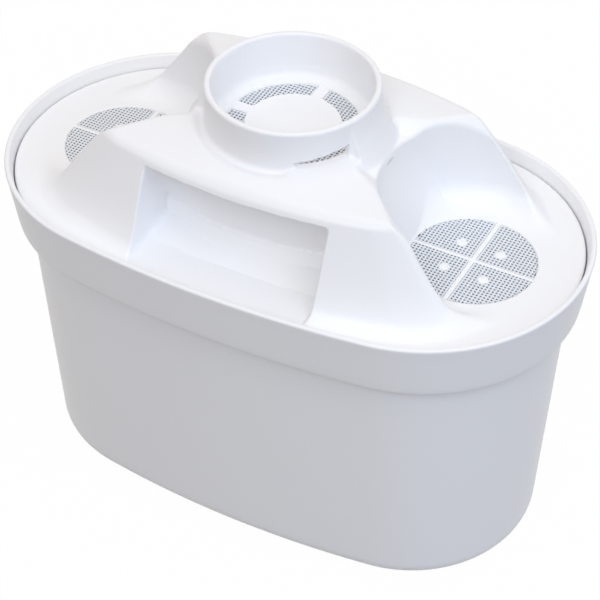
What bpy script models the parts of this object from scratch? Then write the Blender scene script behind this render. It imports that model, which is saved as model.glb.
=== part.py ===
"""Water pitcher filter cartridge.

A tapered oval cup holds a bed of filter granules. A moulded cover closes it: a flat deck with two
round mesh windows, and between them a hollow hump that fingers grip in a pocket at its front and
back. An upright collar ring stands on the hump, with a vented floor inside it.

The part stands on its base at z = 0. X runs along its length, and every oval outline of the cup and
the deck is the rim's outline set in by some distance. Sizes are in metres.
"""
import math

import bmesh
import bpy

# Clearances
FIT_GAP = 0.0003            # between pieces that touch
DECK_EDGE_GAP = 0.0005      # between the deck's edge and the inside of the rim

# Collar ring on top of the hump
RING_RADIUS = 0.01458       # outer radius
RING_WALL = 0.0012
RING_HEIGHT = 0.0071        # above the hump's top beside the ring
RING_LIP_ROUND = 0.0004
RING_MOAT_WIDTH = 0.0009    # shallow groove around the ring's foot
RING_MOAT_DEPTH = 0.0003
RING_SLOT_START = -61.0     # degrees round the ring, from +X
RING_SLOT_END = -23.6
RING_SLOT_HEIGHT = 0.0014

# Vented floor inside the ring
VENT_FLOOR_DROP = 0.0013    # below the hump's top beside the ring
VENT_INNER_RADIUS = 0.0082
VENT_WIDTH = 0.0030
VENT_BRIDGE = 0.0022        # width of the four bridges between the vent openings
VENT_DISC_RISE = 0.0004     # how far the centre disc bulges up
VENT_SEAT_DEPTH = 0.0008
VENT_SEAT_MARGIN = 0.0007

# Windows and the scallops that lead down to them
WINDOW_RADIUS = 0.0107
WINDOW_END_MARGIN = 0.0070  # from a window's edge to the end of the deck
WINDOW_SEAT_MARGIN = 0.0008
WINDOW_SEAT_HEIGHT = 0.0011
LONG_RIB_WIDTH = 0.0006
CROSS_RIB_WIDTH = 0.0008
RIB_DROP = 0.0002           # from the deck down to the top of the ribs
RIB_LIFT = 0.0001           # from the seat up to the underside of the ribs
SCALLOP_RADIUS = 0.0160
SCALLOP_DRAFT = 0.0003      # how much wider a scallop is at its top
SCALLOP_FILLET = 0.0045
RING_LAND = 0.00262         # between the ring and the top edge of a scallop

# Hump
HUMP_RISE = 0.0164          # from the deck to the hump's top edge
CROWN = 0.0012              # from the hump's top edge up to the ring's foot
HUMP_HALF_WIDTH = 0.0202    # at the top edge, in the middle
HUMP_SIDE_RADIUS = 0.100    # of the long sides, in plan
RAMP_RUN = 0.0071           # how far the long sides slope out on the way down
FOOT_FLARE = 0.0012
FOOT_FLARE_HEIGHT = 0.0026
CORNER_SETBACK = 0.0071     # from a window's centre to the hump's top corner
CORNER_ANGLE = 46.9         # degrees in plan, the way a corner facet faces
CORNER_RUN = 0.0088         # how far a corner facet slopes out on the way down
TOE_REACH = 0.0060          # from a window's centre out to the tip of a shoulder
TOE_RUN = 0.0115            # how far the tip draws back on the way up
WALL = 0.0016               # of the hump

# Finger pockets
POCKET_HALF_LENGTH = 0.0168
POCKET_FLOOR_RISE = 0.0016  # above the deck
POCKET_LEDGE_RISE = 0.0008  # of the slope at the foot of the back wall
POCKET_LEDGE_WIDTH = 0.0037
POCKET_DEPTH = 0.0062       # from the hump's top edge in to the foot of the back wall
LIP_HEIGHT = 0.0020
LIP_SETBACK = 0.0003

# Deck and skirt
DECK_THICKNESS = 0.0018
DECK_SIDE_MARGIN = 0.0018   # from the foot of a long side to the edge of the deck
SKIRT_WALL = 0.0012
SKIRT_DEPTH = 0.0040

# Cup
DECK_DROP = 0.00235         # from the rim down to the deck
RIM_HEIGHT = 0.06095
RIM_WALL = 0.0013
RIM_ROUND = 0.0004
SIDE_BOW = 0.0017           # half the width of the rim less the radius of its ends
BAND_HEIGHT = 0.0107
BAND_TAPER = 0.0016
BAND_STEP = 0.0019
BODY_TAPER = 0.0024
CUP_WALL = 0.0014
CUP_FLOOR = 0.0016
CUP_INNER_ROUND = 0.0030
BASE_ROUND = 0.0040
FOOT_WIDTH = 0.0026
FOOT_HEIGHT = 0.0008

# Outlet slots
OUTLET_COUNT = 9
OUTLET_PITCH = 0.0046
OUTLET_WIDTH = 0.0022
OUTLET_LENGTH = 0.0180

# Mesh inserts
MESH_THICKNESS = 0.0004
MESH_PITCH = 0.0026
MESH_BAR = 0.0008
MESH_HEM = 0.0012           # plain border of the strainer
OUTLET_MESH_PITCH = 0.0042
PAD_OFFSET = 0.0035         # from a window's centre lines to a moulding pad
PAD_RADIUS = 0.0010
PAD_RISE = 0.00015

# Filter media
MEDIA_HEADSPACE = 0.0050    # below the collar band
MEDIA_ROUND = 0.0020

# Counts of points
OVAL_END_POINTS = 22
OVAL_SIDE_POINTS = 8
HUMP_END_POINTS = 4
HUMP_FACET_POINTS = 3
HUMP_SIDE_POINTS = 7
FILLET_POINTS = 5
TURN_STEPS = 56
SMOOTH_ANGLE = math.radians(32)
CUT_MARGIN = 0.0020         # how far cutters reach past what they cut

# Heights
DECK_Z = RIM_HEIGHT - DECK_DROP
DECK_UNDERSIDE = DECK_Z - DECK_THICKNESS
BAND_BOTTOM = RIM_HEIGHT - BAND_HEIGHT
HUMP_Z = DECK_Z + HUMP_RISE
CROWN_Z = HUMP_Z + CROWN
RING_TOP = CROWN_Z + RING_HEIGHT
VENT_FLOOR_Z = CROWN_Z - VENT_FLOOR_DROP
HOLLOW_TOP = HUMP_Z - WALL
WINDOW_SEAT_Z = DECK_UNDERSIDE + WINDOW_SEAT_HEIGHT
FLOOR_Z = FOOT_HEIGHT + CUP_FLOOR

# Places along and across the part, worked out from the centre to the rim
WINDOW_X = RING_RADIUS + RING_LAND + SCALLOP_RADIUS + SCALLOP_DRAFT
DECK_HALF_LENGTH = WINDOW_X + WINDOW_RADIUS + WINDOW_END_MARGIN
DECK_HALF_WIDTH = HUMP_HALF_WIDTH + RAMP_RUN + DECK_SIDE_MARGIN
DECK_INSET = RIM_WALL + DECK_EDGE_GAP
RIM_HALF_LENGTH = DECK_HALF_LENGTH + DECK_INSET
RIM_HALF_WIDTH = DECK_HALF_WIDTH + DECK_INSET
BODY_INSET = BAND_TAPER + BAND_STEP
BASE_INSET = BODY_INSET + BODY_TAPER
BAND_INNER_INSET = BAND_TAPER + CUP_WALL


def clear_scene():
    """Remove what the scene holds."""
    for old in list(bpy.data.objects):
        bpy.data.objects.remove(old, do_unlink=True)


def new_collection(name):
    """A collection in the scene."""
    collection = bpy.data.collections.new(name)
    bpy.context.scene.collection.children.link(collection)
    return collection


def new_material(name, colour, roughness):
    """A plain plastic or mineral finish."""
    material = bpy.data.materials.new(name)
    material.use_nodes = True
    shader = material.node_tree.nodes["Principled BSDF"]
    shader.inputs["Base Color"].default_value = (*colour, 1.0)
    shader.inputs["Roughness"].default_value = roughness
    shader.inputs["Metallic"].default_value = 0.0
    return material


def add_object(name, mesh, collection, material=None):
    """Put a mesh into the scene, smooth but for its sharp edges."""
    mesh.shade_smooth()
    mesh.set_sharp_from_angle(angle=SMOOTH_ANGLE)
    piece = bpy.data.objects.new(name, mesh)
    if material is not None:
        mesh.materials.append(material)
    collection.objects.link(piece)
    return piece


def as_cutter(piece):
    """Show a cutter as a wire, and keep it out of renders."""
    piece.hide_render = True
    piece.display_type = "WIRE"
    return piece


def combine(piece, other, operation):
    """Cut a piece with another, or join them."""
    modifier = piece.modifiers.new(other.name, "BOOLEAN")
    modifier.operation = operation
    modifier.solver = "EXACT"
    modifier.object = other


def oval(inset, z):
    """The rim's outline set in by a distance, at a height: two end arcs joined by two long side arcs."""
    end_radius = RIM_HALF_WIDTH - SIDE_BOW
    end_centre = RIM_HALF_LENGTH - end_radius
    side_radius = (end_centre ** 2 + RIM_HALF_WIDTH ** 2 - end_radius ** 2) / (2 * SIDE_BOW)
    side_centre = side_radius - RIM_HALF_WIDTH
    join = math.atan2(side_centre, end_centre)
    points = []
    for turn in (0.0, math.pi):
        flip = math.cos(turn)
        for i in range(OVAL_END_POINTS):
            angle = -join + 2 * join * i / OVAL_END_POINTS
            radius = end_radius - inset
            x = end_centre + radius * math.cos(angle)
            points.append((flip * x, flip * radius * math.sin(angle), z))
        for i in range(OVAL_SIDE_POINTS):
            angle = join + (math.pi - 2 * join) * i / OVAL_SIDE_POINTS
            radius = side_radius - inset
            y = radius * math.sin(angle) - side_centre
            points.append((flip * radius * math.cos(angle), flip * y, z))
    return points


def circle(radius, z, count):
    """A ring of points about the Z axis."""
    return [(radius * math.cos(2 * math.pi * i / count), radius * math.sin(2 * math.pi * i / count), z)
            for i in range(count)]


def add_loft(builder, loops):
    """Skin a row of loops that have equally many points, and cap both ends."""
    rows = [[builder.verts.new(point) for point in loop] for loop in loops]
    count = len(rows[0])
    faces = [builder.faces.new(rows[0]), builder.faces.new(rows[-1])]
    for low, high in zip(rows, rows[1:]):
        for i in range(count):
            j = (i + 1) % count
            faces.append(builder.faces.new((low[i], low[j], high[j], high[i])))
    bmesh.ops.recalc_face_normals(builder, faces=faces)


def loft_mesh(name, *bodies):
    """A mesh of one or more lofts that don't touch."""
    builder = bmesh.new()
    for loops in bodies:
        add_loft(builder, loops)
    mesh = bpy.data.meshes.new(name)
    builder.to_mesh(mesh)
    builder.free()
    return mesh


def prism(outline, low, high):
    """The two loops of an upright prism on a flat outline."""
    return [[(x, y, low) for x, y in outline], [(x, y, high) for x, y in outline]]


def turned(name, profile, collection, x=0.0):
    """A body turned about an upright axis, from a profile that runs down its outer side."""
    mesh = bpy.data.meshes.new(name)
    edges = [(i, i + 1) for i in range(len(profile) - 1)]
    mesh.from_pydata([(radius, 0.0, z) for radius, z in profile], edges, [])
    piece = bpy.data.objects.new(name, mesh)
    collection.objects.link(piece)
    piece.location.x = x
    screw = piece.modifiers.new("turn", "SCREW")
    screw.axis = "Z"
    screw.angle = 2 * math.pi
    screw.steps = TURN_STEPS
    screw.render_steps = TURN_STEPS
    screw.use_merge_vertices = True
    screw.merge_threshold = 0.000001
    screw.use_smooth_shade = True
    return piece


def quarter_arc(radius):
    """Steps along a quarter round, as shares from the flat face to the upright one."""
    for i in range(FILLET_POINTS):
        angle = 0.5 * math.pi * i / (FILLET_POINTS - 1)
        yield radius * (1 - math.sin(angle)), radius * (1 - math.cos(angle))


def body_inset(z):
    """How far the cup's outer wall lies inside the rim at a height."""
    share = (z - BASE_ROUND) / (BAND_BOTTOM - BASE_ROUND)
    return BASE_INSET - BODY_TAPER * share


def outlet_places():
    """Where the outlet slots lie along the base."""
    first = -0.5 * OUTLET_PITCH * (OUTLET_COUNT - 1)
    return [first + OUTLET_PITCH * i for i in range(OUTLET_COUNT)]


def rounded_slot(x, width, length):
    """The outline of a slot with round ends, across the part."""
    radius = 0.5 * width
    straight = 0.5 * length - radius
    points = []
    for side in (1, -1):
        for i in range(FILLET_POINTS):
            angle = math.pi * i / (FILLET_POINTS - 1)
            points.append((x + side * radius * math.cos(angle), side * (straight + radius * math.sin(angle))))
    return points


def make_cup(parts, cutters, material):
    """The lower housing: base with a foot ring, tapered wall, collar band, rim and the deck's ledge."""
    foot_inset = BASE_INSET + BASE_ROUND + FOOT_WIDTH
    ledge_z = DECK_UNDERSIDE - FIT_GAP
    inner_low = body_inset(FLOOR_Z) + CUP_WALL
    loops = [oval(foot_inset + FOOT_HEIGHT, FOOT_HEIGHT), oval(foot_inset, 0.0)]
    for inward, upward in quarter_arc(BASE_ROUND):
        loops.append(oval(BASE_INSET + inward, upward))
    loops += [
        oval(BODY_INSET, BAND_BOTTOM),
        oval(BAND_TAPER, BAND_BOTTOM),
        oval(0.0, RIM_HEIGHT - RIM_ROUND),
        oval(RIM_ROUND, RIM_HEIGHT),
        oval(RIM_WALL - RIM_ROUND, RIM_HEIGHT),
        oval(RIM_WALL, RIM_HEIGHT - RIM_ROUND),
        oval(RIM_WALL, ledge_z),
        oval(BAND_INNER_INSET, ledge_z),
        oval(BAND_INNER_INSET, BAND_BOTTOM + CUP_WALL),
        oval(BODY_INSET + CUP_WALL, BAND_BOTTOM + CUP_WALL),
    ]
    for inward, upward in reversed(list(quarter_arc(CUP_INNER_ROUND))):
        loops.append(oval(inner_low + inward, FLOOR_Z + upward))
    cup = add_object("cup", loft_mesh("cup", loops), parts, material)
    slots = [prism(rounded_slot(x, OUTLET_WIDTH, OUTLET_LENGTH), -CUT_MARGIN, FLOOR_Z + CUT_MARGIN)
             for x in outlet_places()]
    cutter = as_cutter(add_object("outlet_slots", loft_mesh("outlet_slots", *slots), cutters))
    combine(cup, cutter, "DIFFERENCE")


def hump_side(z, inset):
    """Half the hump's width in the middle at a height, with the concave flare at its foot."""
    fall = (HUMP_Z - z) / HUMP_RISE
    height = max(z - DECK_Z, 0.0)
    flare = 0.0
    if inset == 0.0 and height < FOOT_FLARE_HEIGHT:
        flare = FOOT_FLARE * (1 - height / FOOT_FLARE_HEIGHT) ** 2
    return HUMP_HALF_WIDTH + RAMP_RUN * fall + flare - inset, flare


def hump_outline(z, inset=0.0):
    """The hump's outline at a height: bowed long sides, corner facets and blunt ends.

    The scallops take the ends off afterwards.
    """
    fall = (HUMP_Z - z) / HUMP_RISE
    side, flare = hump_side(z, inset)
    facing = math.radians(CORNER_ANGLE)
    corner_x = WINDOW_X - CORNER_SETBACK
    corner_y = HUMP_HALF_WIDTH - corner_x ** 2 / (2 * HUMP_SIDE_RADIUS)
    reach = corner_x * math.cos(facing) + corner_y * math.sin(facing) + CORNER_RUN * fall + flare - inset
    end_x = WINDOW_X + TOE_REACH - TOE_RUN * (1 - fall) - inset
    # The crease is where the facet meets the bowed side, a quadratic in x
    bow = math.sin(facing) / (2 * HUMP_SIDE_RADIUS)
    root = math.cos(facing) ** 2 - 4 * bow * (reach - side * math.sin(facing))
    crease_x = (math.cos(facing) - math.sqrt(root)) / (2 * bow)
    end_y = (reach - end_x * math.cos(facing)) / math.sin(facing)
    crease_y = side - crease_x ** 2 / (2 * HUMP_SIDE_RADIUS)
    quarter = [(end_x, end_y * i / HUMP_END_POINTS) for i in range(HUMP_END_POINTS)]
    for i in range(HUMP_FACET_POINTS):
        share = i / HUMP_FACET_POINTS
        quarter.append((end_x + (crease_x - end_x) * share, end_y + (crease_y - end_y) * share))
    for i in range(HUMP_SIDE_POINTS):
        x = crease_x * (1 - i / HUMP_SIDE_POINTS)
        quarter.append((x, side - x ** 2 / (2 * HUMP_SIDE_RADIUS)))
    top = (0.0, side)
    right_half = quarter + [top] + [(-x, y) for x, y in reversed(quarter[1:])]
    outline = right_half + [(-x, -y) for x, y in right_half]
    return [(x, y, z) for x, y in outline]


def make_hump(parts, material):
    """The hump with the ring and the vented floor, as one loft from the deck to the centre disc."""
    loops = [hump_outline(DECK_Z - 0.5 * DECK_THICKNESS), hump_outline(DECK_Z)]
    for share in (0.25, 0.6, 1.0):
        loops.append(hump_outline(DECK_Z + FOOT_FLARE_HEIGHT * share))
    loops.append(hump_outline(HUMP_Z))
    count = len(loops[0])
    moat = RING_RADIUS + RING_MOAT_WIDTH
    inner = RING_RADIUS - RING_WALL
    disc_edge = VENT_INNER_RADIUS - 0.5 * VENT_WIDTH
    for radius, z in (
            (moat, CROWN_Z),
            (RING_RADIUS, CROWN_Z - RING_MOAT_DEPTH),
            (RING_RADIUS, RING_TOP - RING_LIP_ROUND),
            (RING_RADIUS - RING_LIP_ROUND, RING_TOP),
            (inner + RING_LIP_ROUND, RING_TOP),
            (inner, RING_TOP - RING_LIP_ROUND),
            (inner, VENT_FLOOR_Z),
            (VENT_INNER_RADIUS, VENT_FLOOR_Z),
            (disc_edge, VENT_FLOOR_Z + VENT_DISC_RISE)):
        loops.append(circle(radius, z, count))
    return add_object("cover", loft_mesh("cover", loops), parts, material)


def scallop_profile(extra, bottom):
    """Half section of a scallop: a steep wall that rounds into the deck beside the window."""
    wall = SCALLOP_RADIUS + extra
    profile = [(0.0, CROWN_Z + CUT_MARGIN), (wall + SCALLOP_DRAFT, CROWN_Z + CUT_MARGIN)]
    if extra:
        return profile + [(wall, DECK_Z), (wall, bottom), (0.0, bottom)]
    for inward, upward in reversed(list(quarter_arc(SCALLOP_FILLET))):
        profile.append((wall - inward, DECK_Z + upward))
    foot = wall - SCALLOP_FILLET
    return profile + [(foot, bottom), (0.0, bottom)]


def add_scallops(piece, cutters, extra, bottom):
    """Cut the two scallops, each about its window's axis, into a piece."""
    for side, x in (("left", -WINDOW_X), ("right", WINDOW_X)):
        name = f"{piece.name}_scallop_{side}"
        combine(piece, as_cutter(turned(name, scallop_profile(extra, bottom), cutters, x)), "DIFFERENCE")


def pocket_loops(side, extra, bottom):
    """A finger pocket as sections across the part: floor, sloping ledge, undercut back wall and lip."""
    half = POCKET_HALF_LENGTH + extra
    outside = RIM_HALF_WIDTH
    floor = DECK_Z + POCKET_FLOOR_RISE
    loops = []
    for i in range(HUMP_SIDE_POINTS + 1):
        x = half * (2 * i / HUMP_SIDE_POINTS - 1)
        edge = HUMP_HALF_WIDTH - x ** 2 / (2 * HUMP_SIDE_RADIUS)
        back = edge - POCKET_DEPTH - extra
        lip = edge - LIP_SETBACK - extra
        section = [
            (outside, floor if not extra else bottom),
            (back + POCKET_LEDGE_WIDTH, floor if not extra else bottom),
            (back, floor + POCKET_LEDGE_RISE if not extra else bottom),
            (back, floor + POCKET_LEDGE_RISE + FIT_GAP),
            (lip, HUMP_Z - LIP_HEIGHT),
            (lip, CROWN_Z + CUT_MARGIN),
            (outside, CROWN_Z + CUT_MARGIN),
        ]
        loops.append([(x, side * y, z) for y, z in section])
    return loops


def add_pockets(piece, cutters, extra, bottom):
    """Cut both finger pockets into a piece."""
    name = f"{piece.name}_pockets"
    mesh = loft_mesh(name, pocket_loops(1, extra, bottom), pocket_loops(-1, extra, bottom))
    combine(piece, as_cutter(add_object(name, mesh, cutters)), "DIFFERENCE")


def make_deck(cutters):
    """The deck plate with the skirt that plugs into the cup."""
    skirt = BAND_INNER_INSET + FIT_GAP
    loops = [
        oval(DECK_INSET, DECK_Z),
        oval(DECK_INSET, DECK_UNDERSIDE),
        oval(skirt, DECK_UNDERSIDE),
        oval(skirt, DECK_UNDERSIDE - SKIRT_DEPTH),
        oval(skirt + SKIRT_WALL, DECK_UNDERSIDE - SKIRT_DEPTH),
        oval(skirt + SKIRT_WALL, DECK_UNDERSIDE),
    ]
    return as_cutter(add_object("deck", loft_mesh("deck", loops), cutters))


def make_hollow(cutters):
    """The room inside the hump: the hump's own form, a wall's thickness smaller all round."""
    bottom = DECK_UNDERSIDE - CUT_MARGIN
    loops = [hump_outline(bottom, WALL), hump_outline(HOLLOW_TOP, WALL)]
    hollow = as_cutter(add_object("hollow", loft_mesh("hollow", loops), cutters))
    add_scallops(hollow, cutters, WALL, bottom - CUT_MARGIN)
    add_pockets(hollow, cutters, WALL, bottom - CUT_MARGIN)
    return hollow


def rib_cross(x):
    """The outline of the two ribs that cross a window."""
    reach = WINDOW_RADIUS + 0.5 * WINDOW_SEAT_MARGIN
    long_half = 0.5 * LONG_RIB_WIDTH
    cross_half = 0.5 * CROSS_RIB_WIDTH
    arm = [(reach, -long_half), (reach, long_half), (cross_half, long_half), (cross_half, reach),
           (-cross_half, reach), (-cross_half, long_half)]
    return [(x + px, py) for px, py in arm + [(-px, -py) for px, py in arm]]


def add_windows(cover, cutters):
    """Open the two windows, with a seat for the mesh below, and put the crossed ribs in."""
    seat = WINDOW_RADIUS + WINDOW_SEAT_MARGIN
    bottom = DECK_UNDERSIDE - CUT_MARGIN
    profile = [(0.0, DECK_Z + CUT_MARGIN), (WINDOW_RADIUS, DECK_Z + CUT_MARGIN), (WINDOW_RADIUS, WINDOW_SEAT_Z),
               (seat, WINDOW_SEAT_Z), (seat, bottom), (0.0, bottom)]
    for side, x in (("left", -WINDOW_X), ("right", WINDOW_X)):
        combine(cover, as_cutter(turned(f"window_{side}", profile, cutters, x)), "DIFFERENCE")
    ribs = [prism(rib_cross(x), WINDOW_SEAT_Z + RIB_LIFT, DECK_Z - RIB_DROP) for x in (-WINDOW_X, WINDOW_X)]
    combine(cover, as_cutter(add_object("ribs", loft_mesh("ribs", *ribs), cutters)), "UNION")


def arc_points(radius, start, end, count):
    """Points along an arc about the centre, with its angles in radians."""
    return [(radius * math.cos(start + (end - start) * i / count), radius * math.sin(start + (end - start) * i / count))
            for i in range(count + 1)]


def add_vents(cover, cutters):
    """Cut the four vent openings, the seat of the vent mesh and the low slot through the ring."""
    outer = VENT_INNER_RADIUS + VENT_WIDTH
    inner_gap = math.asin(0.5 * VENT_BRIDGE / VENT_INNER_RADIUS)
    outer_gap = math.asin(0.5 * VENT_BRIDGE / outer)
    openings = []
    for quarter in range(4):
        start = 0.5 * math.pi * quarter
        end = start + 0.5 * math.pi
        outline = arc_points(outer, start + outer_gap, end - outer_gap, FILLET_POINTS)
        outline += reversed(arc_points(VENT_INNER_RADIUS, start + inner_gap, end - inner_gap, FILLET_POINTS))
        openings.append(prism(outline, HOLLOW_TOP - CUT_MARGIN, VENT_FLOOR_Z + CUT_MARGIN))
    combine(cover, as_cutter(add_object("vents", loft_mesh("vents", *openings), cutters)), "DIFFERENCE")
    seat = outer + VENT_SEAT_MARGIN
    seat_top = VENT_FLOOR_Z - VENT_SEAT_DEPTH
    profile = [(0.0, seat_top), (seat, seat_top), (seat, HOLLOW_TOP - CUT_MARGIN), (0.0, HOLLOW_TOP - CUT_MARGIN)]
    combine(cover, as_cutter(turned("vent_seat", profile, cutters)), "DIFFERENCE")
    start = math.radians(RING_SLOT_START)
    end = math.radians(RING_SLOT_END)
    inside = RING_RADIUS - RING_WALL - RING_WALL
    outline = arc_points(RING_RADIUS + RING_WALL, start, end, FILLET_POINTS)
    outline += reversed(arc_points(inside, start, end, FILLET_POINTS))
    low = CROWN_Z + 0.5 * RING_SLOT_HEIGHT
    slot = prism(outline, low, low + RING_SLOT_HEIGHT)
    combine(cover, as_cutter(add_object("ring_slot", loft_mesh("ring_slot", slot), cutters)), "DIFFERENCE")


def make_cover(parts, cutters, material):
    """The upper moulding, from the hump's loft by cutting and joining."""
    cover = make_hump(parts, material)
    add_scallops(cover, cutters, 0.0, DECK_Z - FIT_GAP)
    add_pockets(cover, cutters, 0.0, DECK_Z)
    combine(cover, make_deck(cutters), "UNION")
    combine(cover, make_hollow(cutters), "DIFFERENCE")
    add_windows(cover, cutters)
    add_vents(cover, cutters)


def mesh_gaps(pitch, x_count, y_count, keep):
    """Places of the gaps of a square mesh that pass a test, as offsets from the mesh's centre."""
    places = []
    for i in range(-x_count, x_count):
        for j in range(-y_count, y_count):
            x = (i + 0.5) * pitch
            y = (j + 0.5) * pitch
            if keep(x, y):
                places.append((x, y))
    return places


def square(x, y, half):
    """The outline of a square gap."""
    return [(x - half, y - half), (x + half, y - half), (x + half, y + half), (x - half, y + half)]


def cut_gaps(piece, cutters, x_centre, places, pitch, low, high):
    """Cut the gaps of a mesh into its disc or sheet."""
    half = 0.5 * (pitch - MESH_BAR)
    gaps = [prism(square(x_centre + x, y, half), low - CUT_MARGIN, high + CUT_MARGIN) for x, y in places]
    name = f"{piece.name}_gaps"
    combine(piece, as_cutter(add_object(name, loft_mesh(name, *gaps), cutters)), "DIFFERENCE")


def disc_loops(x, radius, low, high):
    """The two loops of a flat disc."""
    ring = [(x + px, py) for px, py, _ in circle(radius, 0.0, TURN_STEPS)]
    return prism(ring, low, high)


def make_intake_mesh(side, x_centre, parts, cutters, material):
    """The mesh under a window, with its four round moulding pads."""
    radius = WINDOW_RADIUS + WINDOW_SEAT_MARGIN - FIT_GAP
    top = WINDOW_SEAT_Z - FIT_GAP
    low = top - MESH_THICKNESS
    name = f"intake_mesh_{side}"
    disc = add_object(name, loft_mesh(name, disc_loops(x_centre, radius, low, top)), parts, material)
    corner = 0.5 * (MESH_PITCH - MESH_BAR)
    clear = PAD_RADIUS + corner

    def keep(x, y):
        """Whether a gap lies inside the window and off the pads."""
        inside = math.hypot(abs(x) + corner, abs(y) + corner) < WINDOW_RADIUS
        return inside and max(abs(abs(x) - PAD_OFFSET), abs(abs(y) - PAD_OFFSET)) > clear

    steps = int(WINDOW_RADIUS / MESH_PITCH) + 1
    cut_gaps(disc, cutters, x_centre, mesh_gaps(MESH_PITCH, steps, steps, keep), MESH_PITCH, low, top)
    pads = []
    for x in (-PAD_OFFSET, PAD_OFFSET):
        for y in (-PAD_OFFSET, PAD_OFFSET):
            ring = [(x_centre + x + px, y + py) for px, py, _ in circle(PAD_RADIUS, 0.0, 12)]
            pads.append(prism(ring, low + PAD_RISE, top + PAD_RISE))
    pad_name = f"{name}_pads"
    combine(disc, as_cutter(add_object(pad_name, loft_mesh(pad_name, *pads), cutters)), "UNION")


def make_vent_mesh(parts, cutters, material):
    """The mesh disc under the vent openings."""
    outer = VENT_INNER_RADIUS + VENT_WIDTH
    radius = outer + VENT_SEAT_MARGIN - FIT_GAP
    top = VENT_FLOOR_Z - VENT_SEAT_DEPTH - FIT_GAP
    low = top - MESH_THICKNESS
    disc = add_object("vent_mesh", loft_mesh("vent_mesh", disc_loops(0.0, radius, low, top)), parts, material)
    corner = 0.5 * (MESH_PITCH - MESH_BAR)

    def keep(x, y):
        """Whether a gap lies in the ring of vent openings."""
        inside = math.hypot(abs(x) + corner, abs(y) + corner) < radius - 0.5 * MESH_BAR
        return inside and math.hypot(x, y) > VENT_INNER_RADIUS - corner

    steps = int(outer / MESH_PITCH) + 1
    cut_gaps(disc, cutters, 0.0, mesh_gaps(MESH_PITCH, steps, steps, keep), MESH_PITCH, low, top)


def make_outlet_mesh(parts, cutters, material):
    """The strainer sheet that lies on the cup's floor over the outlet slots."""
    low = FLOOR_Z + FIT_GAP
    top = low + MESH_THICKNESS
    half_x = 0.5 * (OUTLET_PITCH * (OUTLET_COUNT - 1) + OUTLET_WIDTH) + MESH_HEM
    half_y = 0.5 * OUTLET_LENGTH + MESH_HEM
    outline = [(half_x, -half_y), (half_x, half_y), (-half_x, half_y), (-half_x, -half_y)]
    sheet = add_object("outlet_mesh", loft_mesh("outlet_mesh", prism(outline, low, top)), parts, material)
    corner = 0.5 * (OUTLET_MESH_PITCH - MESH_BAR)

    def keep(x, y):
        """Whether a gap lies inside the sheet's border."""
        return abs(x) + corner < half_x - 0.5 * MESH_BAR and abs(y) + corner < half_y - 0.5 * MESH_BAR

    steps_x = int(half_x / OUTLET_MESH_PITCH) + 1
    steps_y = int(half_y / OUTLET_MESH_PITCH) + 1
    places = mesh_gaps(OUTLET_MESH_PITCH, steps_x, steps_y, keep)
    cut_gaps(sheet, cutters, 0.0, places, OUTLET_MESH_PITCH, low, top)


def make_media(parts, material):
    """The packed bed of granules, from the strainer to a headspace below the collar band."""
    bottom = FLOOR_Z + FIT_GAP + MESH_THICKNESS + FIT_GAP
    top = BAND_BOTTOM - MEDIA_HEADSPACE
    inside = CUP_WALL + FIT_GAP
    loops = []
    for inward, upward in quarter_arc(CUP_INNER_ROUND):
        loops.append(oval(body_inset(bottom) + inside + inward, bottom + upward))
    for inward, downward in reversed(list(quarter_arc(MEDIA_ROUND))):
        loops.append(oval(body_inset(top) + inside + inward, top - downward))
    add_object("filter_media", loft_mesh("filter_media", loops), parts, material)


def main():
    """Build every piece."""
    clear_scene()
    parts = new_collection("water_pitcher_filter_cartridge")
    cutters = new_collection("cutters")
    white = new_material("white_plastic", (0.86, 0.87, 0.90), 0.30)
    mesh = new_material("mesh_plastic", (0.74, 0.78, 0.82), 0.45)
    granules = new_material("granules", (0.09, 0.08, 0.07), 0.80)
    make_cup(parts, cutters, white)
    make_cover(parts, cutters, white)
    make_intake_mesh("left", -WINDOW_X, parts, cutters, mesh)
    make_intake_mesh("right", WINDOW_X, parts, cutters, mesh)
    make_vent_mesh(parts, cutters, mesh)
    make_outlet_mesh(parts, cutters, mesh)
    make_media(parts, granules)


main()
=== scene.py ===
"""Looks of a water pitcher filter cartridge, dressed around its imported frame.

The cup is a profile carried round an oval. The cover is one moulding with blended edges, so it is the
zero surface of a distance field, found on a grid of whole arrays. Sizes are in metres, in the frame's axes.
"""
from __future__ import annotations

import logging
import math
from dataclasses import dataclass, field
from enum import Enum
from typing import Callable

import bpy
import numpy as np
from mathutils import Matrix, Vector


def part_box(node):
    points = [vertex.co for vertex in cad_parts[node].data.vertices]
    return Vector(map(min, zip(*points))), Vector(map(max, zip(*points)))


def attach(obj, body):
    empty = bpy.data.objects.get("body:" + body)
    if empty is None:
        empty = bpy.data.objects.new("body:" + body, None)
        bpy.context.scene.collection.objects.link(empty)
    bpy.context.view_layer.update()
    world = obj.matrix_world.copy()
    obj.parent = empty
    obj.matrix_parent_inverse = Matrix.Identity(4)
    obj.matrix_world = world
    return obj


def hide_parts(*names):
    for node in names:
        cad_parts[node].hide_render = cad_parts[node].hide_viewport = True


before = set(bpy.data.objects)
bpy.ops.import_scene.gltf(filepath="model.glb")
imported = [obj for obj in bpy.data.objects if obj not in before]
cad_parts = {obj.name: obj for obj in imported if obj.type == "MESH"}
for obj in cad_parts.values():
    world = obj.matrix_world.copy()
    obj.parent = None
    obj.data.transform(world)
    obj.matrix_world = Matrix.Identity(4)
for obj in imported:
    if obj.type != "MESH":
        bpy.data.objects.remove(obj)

LOG = logging.getLogger("cartridge")
BODY = "root"
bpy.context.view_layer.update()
Array = np.ndarray
Field = Callable[[Array, Array, Array], Array]
Section = list[tuple[float, float]]
DECK_DROP = 0.00235      # How far the deck lies below the rim
SHARP_MESH = 30.0        # Degrees past which the edge of a mesh insert is sharp


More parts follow.
